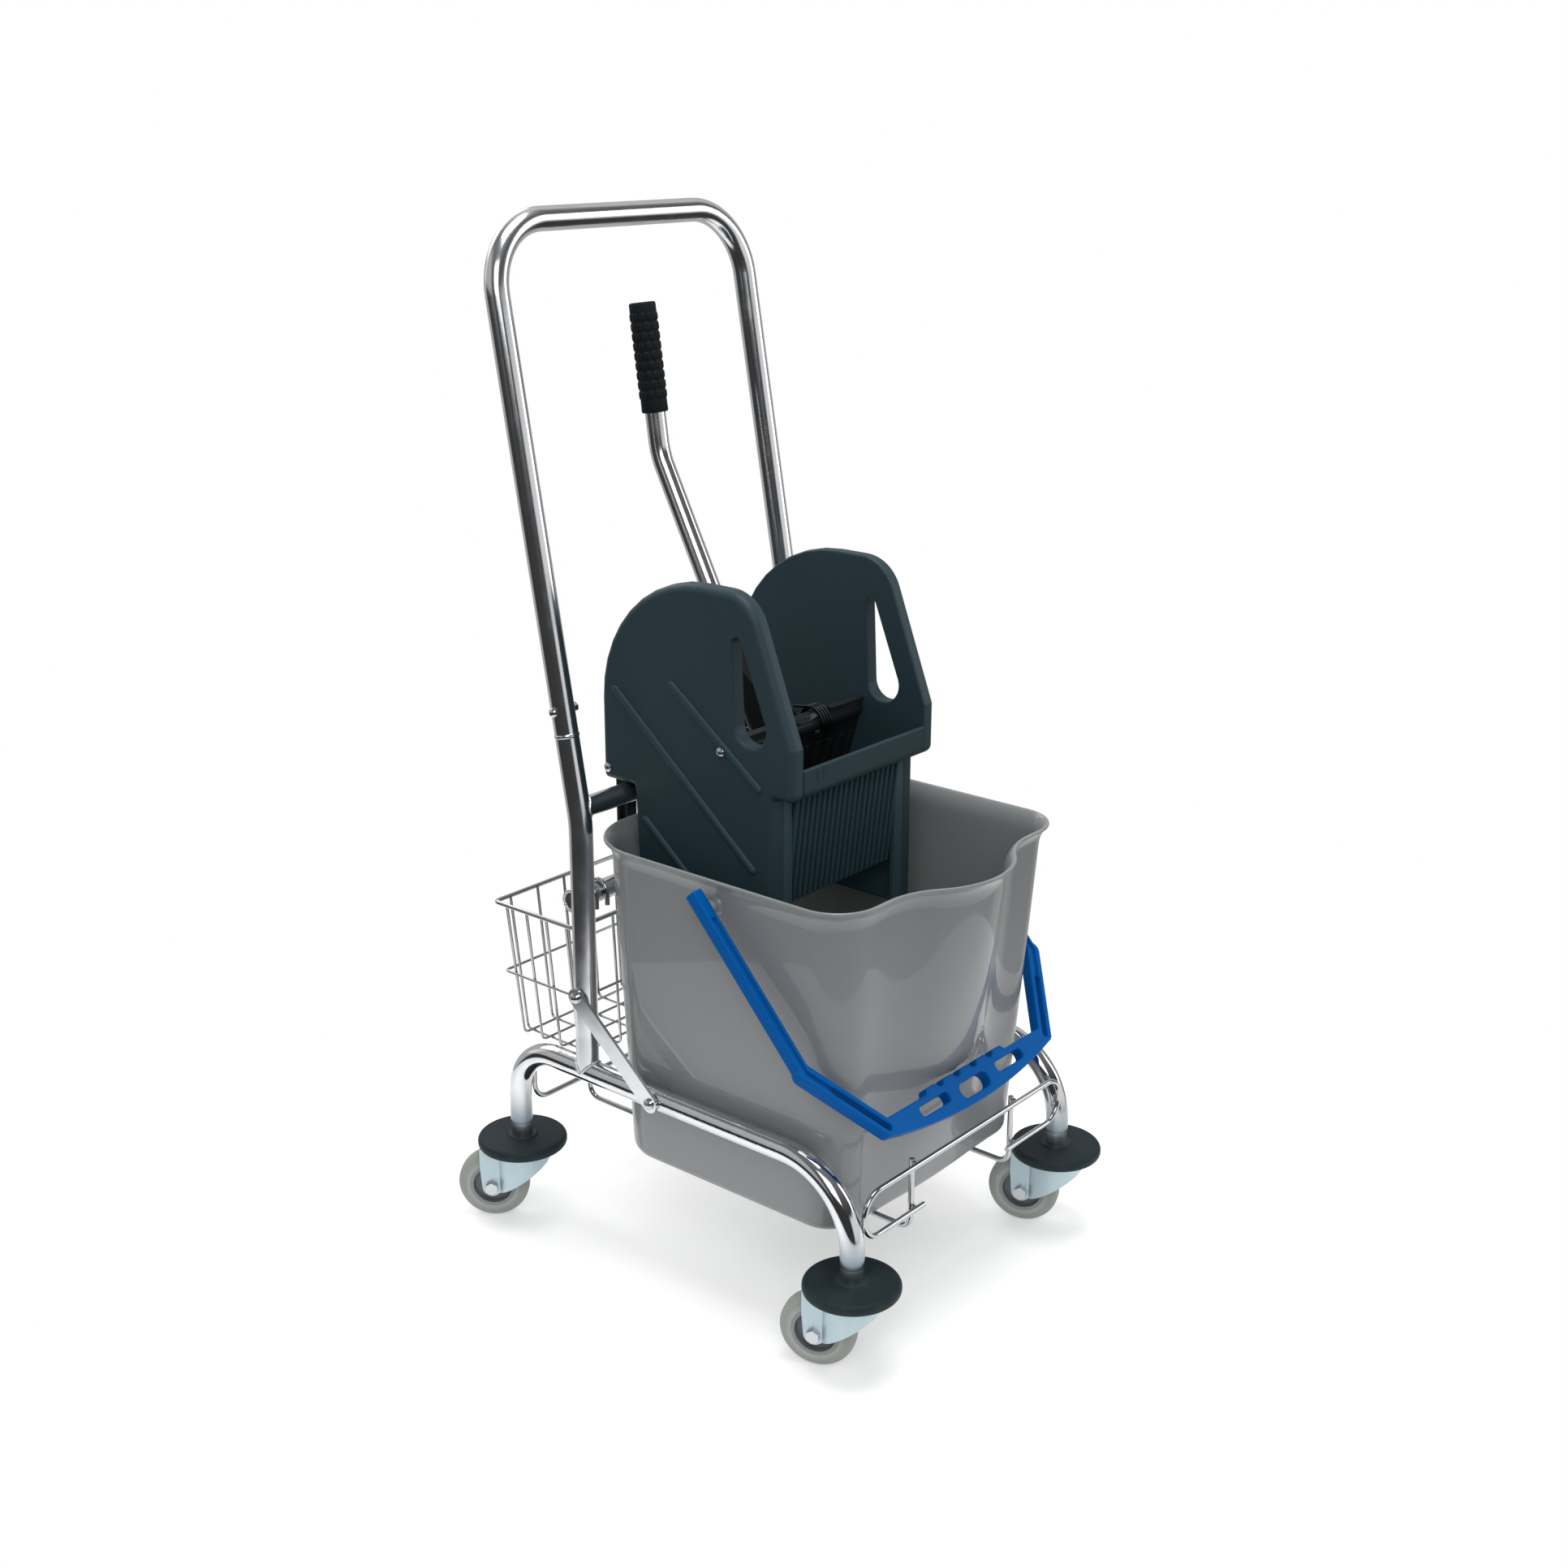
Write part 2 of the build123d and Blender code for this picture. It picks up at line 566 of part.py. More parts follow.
def caster_fork():
    """Pressed fork: a round skirted head that runs out into two cheeks on the axle."""
    head = FORK_HEAD_DIAMETER / 2
    tip = CASTER_TRAIL + FORK_TIP
    eye = Pos(CASTER_TRAIL, axle_height) * Circle(FORK_EYE_DIAMETER / 2)
    skirt = Pos((tip - head) / 2, fork_top - FORK_SKIRT / 2) * Rectangle(tip + head, FORK_SKIRT)
    side_view = extrude(Plane.XZ * make_hull(eye.edges() + skirt.edges()), amount=head, both=True)
    shell = extrude(fork_plan(0), amount=fork_top) & side_view
    shell -= extrude(fork_plan(FORK_THICKNESS), amount=fork_plate_bottom)
    mouth = Pos(tip, 0) * Rectangle(2 * FORK_THICKNESS + 1, 2 * fork_inner)
    shell -= extrude(mouth, amount=fork_plate_bottom)
    shell -= rod((0, 0, 0), (0, 0, LEG_END_HEIGHT), KINGPIN_DIAMETER / 2 + RUNNING_CLEARANCE)
    return shell - rod((CASTER_TRAIL, -head, axle_height), (CASTER_TRAIL, head, axle_height),
                       AXLE_DIAMETER / 2 + RUNNING_CLEARANCE)


def axle_bolt():
    """Axle bolt with a hexagon head and nut outside the fork legs."""
    reach = fork_outer + RUNNING_CLEARANCE
    near = (CASTER_TRAIL, -reach, axle_height)
    far = (CASTER_TRAIL, reach, axle_height)
    flats = AXLE_DIAMETER * 1.6
    return (rod(near, far, AXLE_DIAMETER / 2) + hex_piece(near, (0, -1, 0), flats, NUT_HEIGHT)
            + hex_piece(far, (0, 1, 0), flats, NUT_HEIGHT))


def on_axle(piece):
    """Move a piece turned about Z onto the wheel's axle."""
    return Pos(CASTER_TRAIL, 0, axle_height) * Rot(90, 0, 0) * piece


def wheel_core():
    """Moulded wheel centre with a hub, a thin web and a rim under the tyre."""
    bore = AXLE_DIAMETER / 2 + RUNNING_CLEARANCE
    hub = WHEEL_HUB_DIAMETER / 2
    rim = WHEEL_CORE_DIAMETER / 2
    rim_inner = rim - FORK_THICKNESS * 1.6
    half = [(bore, WHEEL_HUB_WIDTH / 2), (hub, WHEEL_HUB_WIDTH / 2), (hub, WHEEL_WEB / 2),
            (rim_inner, WHEEL_WEB / 2), (rim_inner, TYRE_WIDTH / 2), (rim, TYRE_WIDTH / 2)]
    mirrored = [(radius, -height) for radius, height in reversed(half)]
    return on_axle(turned(half + mirrored))


def wheel_tyre():
    """Grey tyre with a rounded crown, seated on the core's rim."""
    outer = WHEEL_DIAMETER / 2
    inner = WHEEL_CORE_DIAMETER / 2 + RUNNING_CLEARANCE
    ring = Rectangle(outer - inner, TYRE_WIDTH)
    crown = ring.vertices().sort_by(Axis.X)[-2:]
    section = Pos((outer + inner) / 2, 0) * fillet(crown, TYRE_CROWN_RADIUS)
    return on_axle(revolve(Plane.XZ * section, axis=Axis.Z))


# Bucket

def bucket_section(height, flare, inset):
    """Bucket outline at a height above its floor, widened by a flare and drawn in by a wall."""
    share = height / bucket_wall_height
    half_width = bucket_base_half_width + bucket_draft * height
    rear = BUCKET_REAR_BASE + share * (BUCKET_REAR_TOP - BUCKET_REAR_BASE)
    front = -BUCKET_FRONT_BASE - share * (BUCKET_FRONT_TOP - BUCKET_FRONT_BASE)
    spout = BUCKET_SPOUT_BASE + share * (BUCKET_SPOUT_TOP - BUCKET_SPOUT_BASE)
    rear_corner = BUCKET_REAR_CORNER_BASE + share * (BUCKET_REAR_CORNER_TOP - BUCKET_REAR_CORNER_BASE)
    reach = BUCKET_SPOUT_HALF_WIDTH
    sweep_radius = (reach ** 2 + spout ** 2) / (4 * spout)
    grow = flare - inset
    z = bucket_floor + height

    def arc(centre, radius, first, last):
        """Arc in the section's plane, from a first to a last bearing in degrees."""
        stops = [radians(first), radians((first + last) / 2), radians(last)]
        x, y = centre
        return ThreePointArc(*[(x + radius * cos(turn), y + radius * sin(turn), z) for turn in stops])

    swing = degrees(asin(reach / 2 / sweep_radius))
    hollow = sweep_radius - grow
    bulge = sweep_radius + grow
    hollow_y = front - sweep_radius
    bulge_y = front - spout + sweep_radius
    rear_x = half_width - rear_corner
    front_x = half_width - BUCKET_FRONT_CORNER
    rear_round = rear_corner + grow
    front_round = BUCKET_FRONT_CORNER + grow
    bends = [arc((rear_x, rear - rear_corner), rear_round, 0, 90),
             arc((-rear_x, rear - rear_corner), rear_round, 90, 180),
             arc((-front_x, front + BUCKET_FRONT_CORNER), front_round, 180, 270),
             arc((-reach, hollow_y), hollow, 90, 90 - swing),
             arc((0, bulge_y), bulge, 270 - swing, 270 + swing),
             arc((reach, hollow_y), hollow, 90 + swing, 90),
             arc((front_x, front + BUCKET_FRONT_CORNER), front_round, 270, 360)]
    outline = Curve()
    for index, bend in enumerate(bends):
        outline += bend
        following = bends[(index + 1) % len(bends)]
        if ((bend @ 1) - (following @ 0)).length > 0.001:
            outline += Line(bend @ 1, following @ 0)
    return make_face(outline)


def bucket_shape(inset, floor, extra):
    """Solid bucket form with its flared lip, drawn in by an inset."""
    slope = LIP_FLARE / LIP_HEIGHT
    sections = [bucket_section(floor, 0, inset), bucket_section(bucket_wall_height, 0, inset),
                bucket_section(BUCKET_HEIGHT + extra, LIP_FLARE + slope * extra, inset)]
    form = loft(sections, ruled=True)
    foot = form.faces().sort_by(Axis.Z)[0]
    return fillet(foot.edges(), BUCKET_FOOT_RADIUS - inset)


def bucket():
    """Moulded bucket with a pouring bulge in front and two bail bosses."""
    body = bucket_shape(0, 0, 0) - bucket_shape(BUCKET_WALL, BUCKET_WALL, 1)
    root_x = BUCKET_TOP_HALF_WIDTH - BUCKET_WALL / 2
    face_x = bail_arm_inner - PART_GAP
    bore = BAIL_PEG_DIAMETER / 2 + RUNNING_CLEARANCE
    for side in (-1, 1):
        root = (side * root_x, BAIL_PIVOT_Y, bail_pivot_height)
        floor = (side * BUCKET_TOP_HALF_WIDTH, BAIL_PIVOT_Y, bail_pivot_height)
        face = (side * face_x, BAIL_PIVOT_Y, bail_pivot_height)
        body += rod(root, face, BAIL_BOSS_DIAMETER / 2) - rod(floor, face, bore)
    return body


def bail_grip():
    """Grip outline with finger bumps above, a bowed lower edge and three openings."""
    half = BAIL_GRIP_HALF_WIDTH
    deepest = bail_grip_low + BAIL_GRIP_BOW
    edge = Polyline((half, -bail_grip_low), (half, -bail_grip_top),
                    (-half, -bail_grip_top), (-half, -bail_grip_low))
    face = make_face(edge + ThreePointArc((-half, -bail_grip_low), (0, -deepest), (half, -bail_grip_low)))
    foot = BAIL_FINGER_PITCH * 0.42
    for index in range(BAIL_FINGER_COUNT):
        x = (index - (BAIL_FINGER_COUNT - 1) / 2) * BAIL_FINGER_PITCH
        top = -bail_inner_radius
        base = -bail_grip_top - 1
        bump = Polyline((x - foot, base), (x - foot * 0.6, top), (x + foot * 0.6, top), (x + foot, base),
                        close=True)
        face += make_face(bump)
    slot = BAIL_GRIP_DEPTH * 0.6
    middle = BAIL_GRIP_DEPTH * 0.5 + BAIL_GRIP_BOW * 0.5
    centre = Pos(0, -(bail_grip_top + deepest) / 2)
    face -= centre * RectangleRounded(BAIL_GRIP_SLOT_LENGTH, middle, middle * 0.45)
    for side in (-1, 1):
        place = Pos(side * BAIL_GRIP_SLOT_PLACE, -BAIL_GRIP_RADIUS - BAIL_GRIP_BOW / 4)
        face -= place * RectangleRounded(BAIL_GRIP_SLOT_LENGTH, slot, slot * 0.4)
    return face


def bail():
    """Bail lying against the bucket's front: two arms with elbows, and a grip."""
    forward = (0, -cos(bail_rest_angle), sin(bail_rest_angle))
    plane = Plane(origin=(0, BAIL_PIVOT_Y, bail_pivot_height), x_dir=(1, 0, 0), z_dir=forward)
    arm_x = bail_arm_inner + BAIL_ARM_WIDTH / 2
    groove = BAIL_ARM_WIDTH * 0.4
    outline = bail_grip()
    slots = Sketch()
    grooves = Sketch()
    for side in (-1, 1):
        elbow = (side * arm_x, -BAIL_ELBOW_RADIUS)
        corner = (side * BAIL_GRIP_HALF_WIDTH, -BAIL_GRIP_RADIUS)
        middle = ((elbow[0] * 2 + corner[0]) / 3, (elbow[1] * 2 + corner[1]) / 3)
        length = BAIL_ELBOW_RADIUS + BAIL_ARM_OVERRUN
        arm = Pos(side * arm_x, BAIL_ARM_OVERRUN - length / 2) * Rectangle(BAIL_ARM_WIDTH, length)
        outline += arm + strap(elbow, corner, BAIL_GRIP_DEPTH)
        outline += Pos(*elbow) * Circle(BAIL_ARM_WIDTH / 2)
        grooves += strap((elbow[0], -BAIL_BOSS_DIAMETER), elbow, groove) + strap(elbow, middle, groove)
        slots += strap(middle, corner, BAIL_GRIP_DEPTH * 0.4)
    body = extrude(plane * (outline - slots), amount=BAIL_THICKNESS / 2, both=True)
    body -= extrude(plane.offset(BAIL_THICKNESS / 5) * grooves, amount=BAIL_THICKNESS)
    for side in (-1, 1):
        root = (side * arm_x, BAIL_PIVOT_Y, bail_pivot_height)
        peg_end = (side * (BUCKET_TOP_HALF_WIDTH + PART_GAP), BAIL_PIVOT_Y, bail_pivot_height)
        body += rod(peg_end, root, BAIL_PEG_DIAMETER / 2)
    return body


# Wire basket

def wire(start, end, diameter):
    """Straight eight-sided wire between two points."""
    axis = Vector(*end) - Vector(*start)
    flat = Vector(0, 0, 1) if abs(axis.Z) < 0.9 * axis.length else Vector(0, 1, 0)
    section = Rot(0, 0, 22.5) * RegularPolygon(diameter / 2, 8, major_radius=False)
    return extrude(Plane(origin=start, x_dir=axis.cross(flat), z_dir=axis) * section, amount=axis.length)


def basket_x(height):
    """Half width of the basket at a height."""
    share = (height - BASKET_FLOOR_HEIGHT) / (BASKET_RIM_HEIGHT - BASKET_FLOOR_HEIGHT)
    return BASKET_FLOOR_HALF_WIDTH + share * (BASKET_RIM_HALF_WIDTH - BASKET_FLOOR_HALF_WIDTH)


def basket_rear(height):
    """Rear face of the basket at a height."""
    share = (height - BASKET_FLOOR_HEIGHT) / (BASKET_RIM_HEIGHT - BASKET_FLOOR_HEIGHT)
    return BASKET_FLOOR_REAR + share * (BASKET_RIM_REAR - BASKET_FLOOR_REAR)


hook_wire_y = lower_crossbar_y + crossbar_radius + SEAT_GAP + BASKET_RIM_WIRE / 2
basket_front = hook_wire_y + BASKET_RIM_WIRE
basket_levels = ((BASKET_RIM_HEIGHT, BASKET_RIM_WIRE), (BASKET_MID_HEIGHT, BASKET_WIRE),
                 (BASKET_FLOOR_HEIGHT, BASKET_RIM_WIRE))


def fused(pieces):
    """All pieces joined into one solid."""
    whole = pieces[0]
    for piece in pieces[1:]:
        whole += piece
    return whole


def basket_wall(rear):
    """Front or rear grille with its level wires and upright wires."""
    pieces = []
    for height, diameter in basket_levels:
        half = basket_x(height)
        y = basket_rear(height) if rear else basket_front
        pieces.append(wire((-half, y, height), (half, y, height), diameter))
    for index in range(BASKET_BACK_WIRES):
        share = (index + 0.5) / BASKET_BACK_WIRES * 2 - 1
        low_y = basket_rear(BASKET_FLOOR_HEIGHT) if rear else basket_front
        high_y = basket_rear(BASKET_RIM_HEIGHT) if rear else basket_front
        low = (share * BASKET_FLOOR_HALF_WIDTH, low_y, BASKET_FLOOR_HEIGHT)
        high = (share * BASKET_RIM_HALF_WIDTH, high_y, BASKET_RIM_HEIGHT)
        pieces.append(wire(low, high, BASKET_WIRE))
    return fused(pieces)


def basket_side(side):
    """Left or right grille between the front and rear grilles."""
    pieces = []
    margin = BASKET_RIM_WIRE / 2 + WELD_GAP
    for height, diameter in basket_levels:
        x = side * (basket_x(height) - diameter / 2)
        front = (x, basket_front + margin, height)
        rear = (x, basket_rear(height) - margin, height)
        pieces.append(wire(front, rear, diameter))
    for index in range(BASKET_SIDE_WIRES):
        share = (index + 0.5) / BASKET_SIDE_WIRES
        low_y = basket_front + share * (BASKET_FLOOR_REAR - basket_front)
        high_y = basket_front + share * (BASKET_RIM_REAR - basket_front)
        low_x = side * (BASKET_FLOOR_HALF_WIDTH - BASKET_RIM_WIRE / 2)
        high_x = side * (BASKET_RIM_HALF_WIDTH - BASKET_RIM_WIRE / 2)
        foot = (low_x, low_y, BASKET_FLOOR_HEIGHT)
        head = (high_x, high_y, BASKET_RIM_HEIGHT)
        pieces.append(wire(foot, head, BASKET_WIRE))
    return fused(pieces)


def basket_floor():
    """Bottom grid that ties the four grilles together."""
    pieces = []
    z = BASKET_FLOOR_HEIGHT
    half = BASKET_FLOOR_HALF_WIDTH - BASKET_RIM_WIRE - WELD_GAP
    near = basket_front + BASKET_RIM_WIRE / 2 + WELD_GAP
    far = BASKET_FLOOR_REAR - BASKET_RIM_WIRE / 2 - WELD_GAP
    for index in range(BASKET_SIDE_WIRES):
        y = basket_front + (index + 0.5) / BASKET_SIDE_WIRES * (BASKET_FLOOR_REAR - basket_front)
        pieces.append(wire((-half, y, z), (half, y, z), BASKET_WIRE))
    for index in range(BASKET_BACK_WIRES):
        x = ((index + 0.5) / BASKET_BACK_WIRES * 2 - 1) * BASKET_FLOOR_HALF_WIDTH
        pieces.append(wire((x, near, z), (x, far, z), BASKET_WIRE))
    return fused(pieces)


def basket_hook(x):
    """Wire hook over the lower crossbar, welded to the basket's front rim."""
    bend = crossbar_radius + SEAT_GAP + BASKET_RIM_WIRE / 2
    top = LOWER_CROSSBAR_HEIGHT + bend
    front = lower_crossbar_y - bend
    points = [(x, hook_wire_y, BASKET_RIM_HEIGHT - BASKET_HOOK_DROP), (x, hook_wire_y, top),
              (x, front, top), (x, front, LOWER_CROSSBAR_HEIGHT - BASKET_HOOK_DROP)]
    return bent_bar(points, bend - PART_GAP, BASKET_RIM_WIRE / 2)


def wire_basket():
    """Basket of welded wire grilles with a pair of hooks on each side."""
    pieces = [basket_wall(False), basket_wall(True), basket_side(-1), basket_side(1), basket_floor()]
    for side in (-1, 1):
        for edge in (-0.5, 0.5):
            pieces.append(basket_hook(side * BASKET_HOOK_SPACING / 2 + edge * BASKET_HOOK_WIDTH))
    return group(pieces)


# Wringer

def plate_outline():
    """Side plate outline in (y, z): a round-backed head, a slanted front and a lower body."""
    shoulder_y = PLATE_REAR - PLATE_SHOULDER_RADIUS
    shoulder_z = BEAM_TOP + PLATE_RIB_WIDTH
    top = shoulder_z + PLATE_SHOULDER_RADIUS
    turn = PLATE_SHOULDER_RADIUS * sqrt(0.5)
    foot_rear = hook_front - (hook_height - PLATE_FOOT_HEIGHT) * tan(radians(3))
    outline = Polyline((shoulder_y, top), (PLATE_TOP_FRONT, top), (PLATE_FRONT, BEAM_TOP),
                       (PLATE_FRONT, BEAM_BOTTOM), (PLATE_BODY_FRONT, BEAM_BOTTOM),
                       (PLATE_BODY_FRONT, PLATE_FOOT_HEIGHT), (foot_rear, PLATE_FOOT_HEIGHT),
                       (hook_front, hook_height), (PLATE_REAR, hook_height), (PLATE_REAR, shoulder_z))
    crown = (shoulder_y + turn, shoulder_z + turn)
    outline += ThreePointArc((PLATE_REAR, shoulder_z), crown, (shoulder_y, top))
    face = make_face(outline)
    corner = face.vertices().sort_by_distance((PLATE_TOP_FRONT, top))[0]
    return fillet(corner, PLATE_TOP_RADIUS)


def plate_window():
    """Teardrop hand hole in the side plate."""
    narrow = Pos(*WINDOW_TOP) * Circle(WINDOW_TOP_RADIUS)
    wide = Pos(*WINDOW_FOOT) * Circle(WINDOW_FOOT_RADIUS)
    return make_hull(narrow.edges() + wide.edges())


def side_plate(side):
    """Thick moulded side plate with ribs outside and a post behind its front edge."""
    body = side_profile(plate_outline(), plate_inner, PLATE_HALF_SPAN)
    body = fillet(body.faces().sort_by(Axis.X)[-1].edges(), PLATE_EDGE_RADIUS)
    for start, end in PLATE_RIBS:
        rib = strap(start, end, PLATE_RIB_WIDTH)
        body += side_profile(rib, PLATE_HALF_SPAN, PLATE_HALF_SPAN + PLATE_RIB_HEIGHT)
    post_y = PLATE_BODY_FRONT + POST_DEPTH / 2
    post_z = (BEAM_BOTTOM - SEAT_GAP + PLATE_FOOT_HEIGHT) / 2
    post = Pos(post_y, post_z) * Rectangle(POST_DEPTH, BEAM_BOTTOM - SEAT_GAP - PLATE_FOOT_HEIGHT)
    body += side_profile(post, plate_inner - POST_WIDTH, plate_inner)
    body -= side_profile(plate_window(), 0, 2 * PLATE_HALF_SPAN)
    for y, z in ((PIVOT_Y, PIVOT_HEIGHT), REAR_SPACER, FOOT_SPACER):
        body -= across(y, z, 2 * PLATE_HALF_SPAN, WRINGER_BOLT_DIAMETER / 2 + RUNNING_CLEARANCE)
    return body if side > 0 else mirror(body, about=Plane.YZ)


def press_grid():
    """Front beam and the ribbed grid that the mop is pressed against."""
    back = PLATE_BODY_FRONT - GRID_SHEET
    foot_y, foot_z = GRID_FOOT
    beam_depth = PLATE_BODY_FRONT - PLATE_FRONT
    beam = Rectangle(beam_depth, BEAM_TOP - BEAM_BOTTOM) - Pos(GRID_SHEET, 0) * Rectangle(
        beam_depth, BEAM_TOP - BEAM_BOTTOM - 2 * GRID_SHEET)
    middle = ((PLATE_FRONT + PLATE_BODY_FRONT) / 2, (BEAM_TOP + BEAM_BOTTOM) / 2)
    body = side_profile(Pos(*middle) * beam, -plate_inner, plate_inner)
    panel_half = plate_inner - POST_WIDTH - PART_GAP
    top_z = BEAM_BOTTOM + GRID_SHEET
    sheet = make_face(Polyline((back, top_z), (PLATE_BODY_FRONT, top_z), (foot_y, foot_z + GRID_SHEET),
                               (foot_y + GRID_RETURN, foot_z + GRID_SHEET), (foot_y + GRID_RETURN, foot_z),
                               (foot_y - GRID_SHEET, foot_z), close=True))
    body += side_profile(sheet, -panel_half, panel_half)
    rib_face = make_face(Polyline((back - GRID_RIB_HEIGHT, BEAM_BOTTOM), (back + GRID_SHEET / 2, BEAM_BOTTOM),
                                  (foot_y - GRID_SHEET / 2, foot_z),
                                  (foot_y - GRID_SHEET - GRID_RIB_HEIGHT, foot_z), close=True))
    pitch = (2 * panel_half - GRID_RIB_THICKNESS) / (GRID_RIB_COUNT - 1)
    ribs = []
    for index in range(GRID_RIB_COUNT):
        near = -panel_half + index * pitch
        ribs.append(side_profile(rib_face, near, near + GRID_RIB_THICKNESS))
    return body.fuse(*ribs)


def hook_brackets():
    """Pair of legs inside the plates that drop behind the upper crossbar."""
    rear = hook_rear + HOOK_LEG_DEPTH
    middle = (hook_rear + rear) / 2
    height = HOOK_LEG_TOP - HOOK_LEG_FOOT
    leg = RectangleRounded(HOOK_LEG_DEPTH, height, HOOK_LEG_DEPTH / 4)
    face = Pos(middle, HOOK_LEG_FOOT + height / 2) * leg
    for index in range(2):
        z = HOOK_LEG_FOOT + HOOK_WINDOW_HEIGHT * (0.9 + 1.35 * index)
        face -= Pos(middle, z) * Rectangle(HOOK_LEG_DEPTH / 2, HOOK_WINDOW_HEIGHT)
    outer = plate_inner - WELD_GAP
    bracket = side_profile(face, outer - HOOK_LEG_WIDTH, outer)
    bracket -= across(*REAR_SPACER, PLATE_HALF_SPAN, WRINGER_BOLT_DIAMETER / 2 + RUNNING_CLEARANCE)
    return group([bracket, mirror(bracket, about=Plane.YZ)])


def bolted_rod(y, z, half_length, diameter, reach):
    """Round bar between the plates, with a bolt end and a domed head through each of them."""
    body = across(y, z, half_length, diameter / 2)
    body += across(y, z, reach, WRINGER_BOLT_DIAMETER / 2)
    for side in (-1, 1):
        body += dome_head((side * reach, y, z), (side, 0, 0), WRINGER_BOLT_DIAMETER * 0.85, BOLT_HEAD_HEIGHT)
    return body


def tie_rods():
    """Rear and lower spacer bars."""
    reach = PLATE_HALF_SPAN + WELD_GAP
    rear = bolted_rod(*REAR_SPACER, plate_inner - HOOK_LEG_WIDTH - 2 * WELD_GAP, SPACER_DIAMETER, reach)
    foot = bolted_rod(*FOOT_SPACER, plate_inner - WELD_GAP, SPACER_DIAMETER, reach)
    return group([rear, foot])


def pivot_shaft():
    """Shaft between the plates that carries the press jaw, its heads on the plates' ribs."""
    reach = PLATE_HALF_SPAN + PLATE_RIB_HEIGHT + WELD_GAP
    return bolted_rod(PIVOT_Y, PIVOT_HEIGHT, plate_inner - WELD_GAP, PIVOT_SHAFT_DIAMETER, reach)


# Press jaw and lever

lever_lean = radians(LEVER_LEAN)
lever_axis = Vector(0, sin(lever_lean), cos(lever_lean))
lever_foot = pivot + Vector(0, cos(lever_lean), -sin(lever_lean)) * LEVER_SETBACK
grip_lean = radians(LEVER_GRIP_LEAN)
grip_axis = Vector(0, sin(grip_lean), cos(grip_lean))
lever_bend = lever_foot + lever_axis * LEVER_LENGTH
lever_tip = lever_bend + grip_axis * LEVER_TIP_LENGTH
socket_start = lever_foot - lever_axis * SOCKET_WALL
spring_peg_reach = SPRING_RADIUS + (SPRING_WIRE + SPRING_PEG_DIAMETER) / 2 + SEAT_GAP
spacer_offset = SPRING_RADIUS + (SPRING_WIRE + SPACER_DIAMETER) / 2 + SEAT_GAP
spacer_run = hypot(REAR_SPACER[0] - PIVOT_Y, REAR_SPACER[1] - PIVOT_HEIGHT)
spacer_bearing = atan2(REAR_SPACER[1] - PIVOT_HEIGHT, REAR_SPACER[0] - PIVOT_Y)
spring_turn = degrees(spacer_bearing + asin(spacer_offset / spacer_run))
spring_frame = Pos(0, PIVOT_Y, PIVOT_HEIGHT) * Rot(spring_turn, 0, 0)
spring_width = SPRING_HALF_TURNS * SPRING_PITCH / 2


def jaw_plate():
    """Hanging plate of the jaw about the pivot, with a dipped lip and front ribs."""
    half = plate_inner - JAW_SIDE_GAP
    back = JAW_THICKNESS - JAW_FRONT_OFFSET
    face = Pos((back - JAW_FRONT_OFFSET) / 2, (JAW_LIP_RISE - JAW_LENGTH) / 2) * Rectangle(
        JAW_THICKNESS, JAW_LIP_RISE + JAW_LENGTH)
    body = side_profile(face, -half, half)
    dip = JAW_LIP_RISE + JAW_DIP_RADIUS * 0.75
    body -= rod((0, -half, dip), (0, half, dip), JAW_DIP_RADIUS)
    rib = Pos(-JAW_FRONT_OFFSET - JAW_RIB_HEIGHT / 2, -JAW_LENGTH / 2 - JAW_HUB_DIAMETER / 2) * Rectangle(
        JAW_RIB_HEIGHT, JAW_LENGTH - JAW_HUB_DIAMETER)
    pitch = 2 * half / JAW_RIB_COUNT
    for index in range(JAW_RIB_COUNT):
        middle = -half + (index + 0.5) * pitch
        body += side_profile(rib, middle - JAW_RIB_HEIGHT, middle + JAW_RIB_HEIGHT)
    return Pos(0, PIVOT_Y, PIVOT_HEIGHT) * Rot(JAW_REST_ANGLE, 0, 0) * body


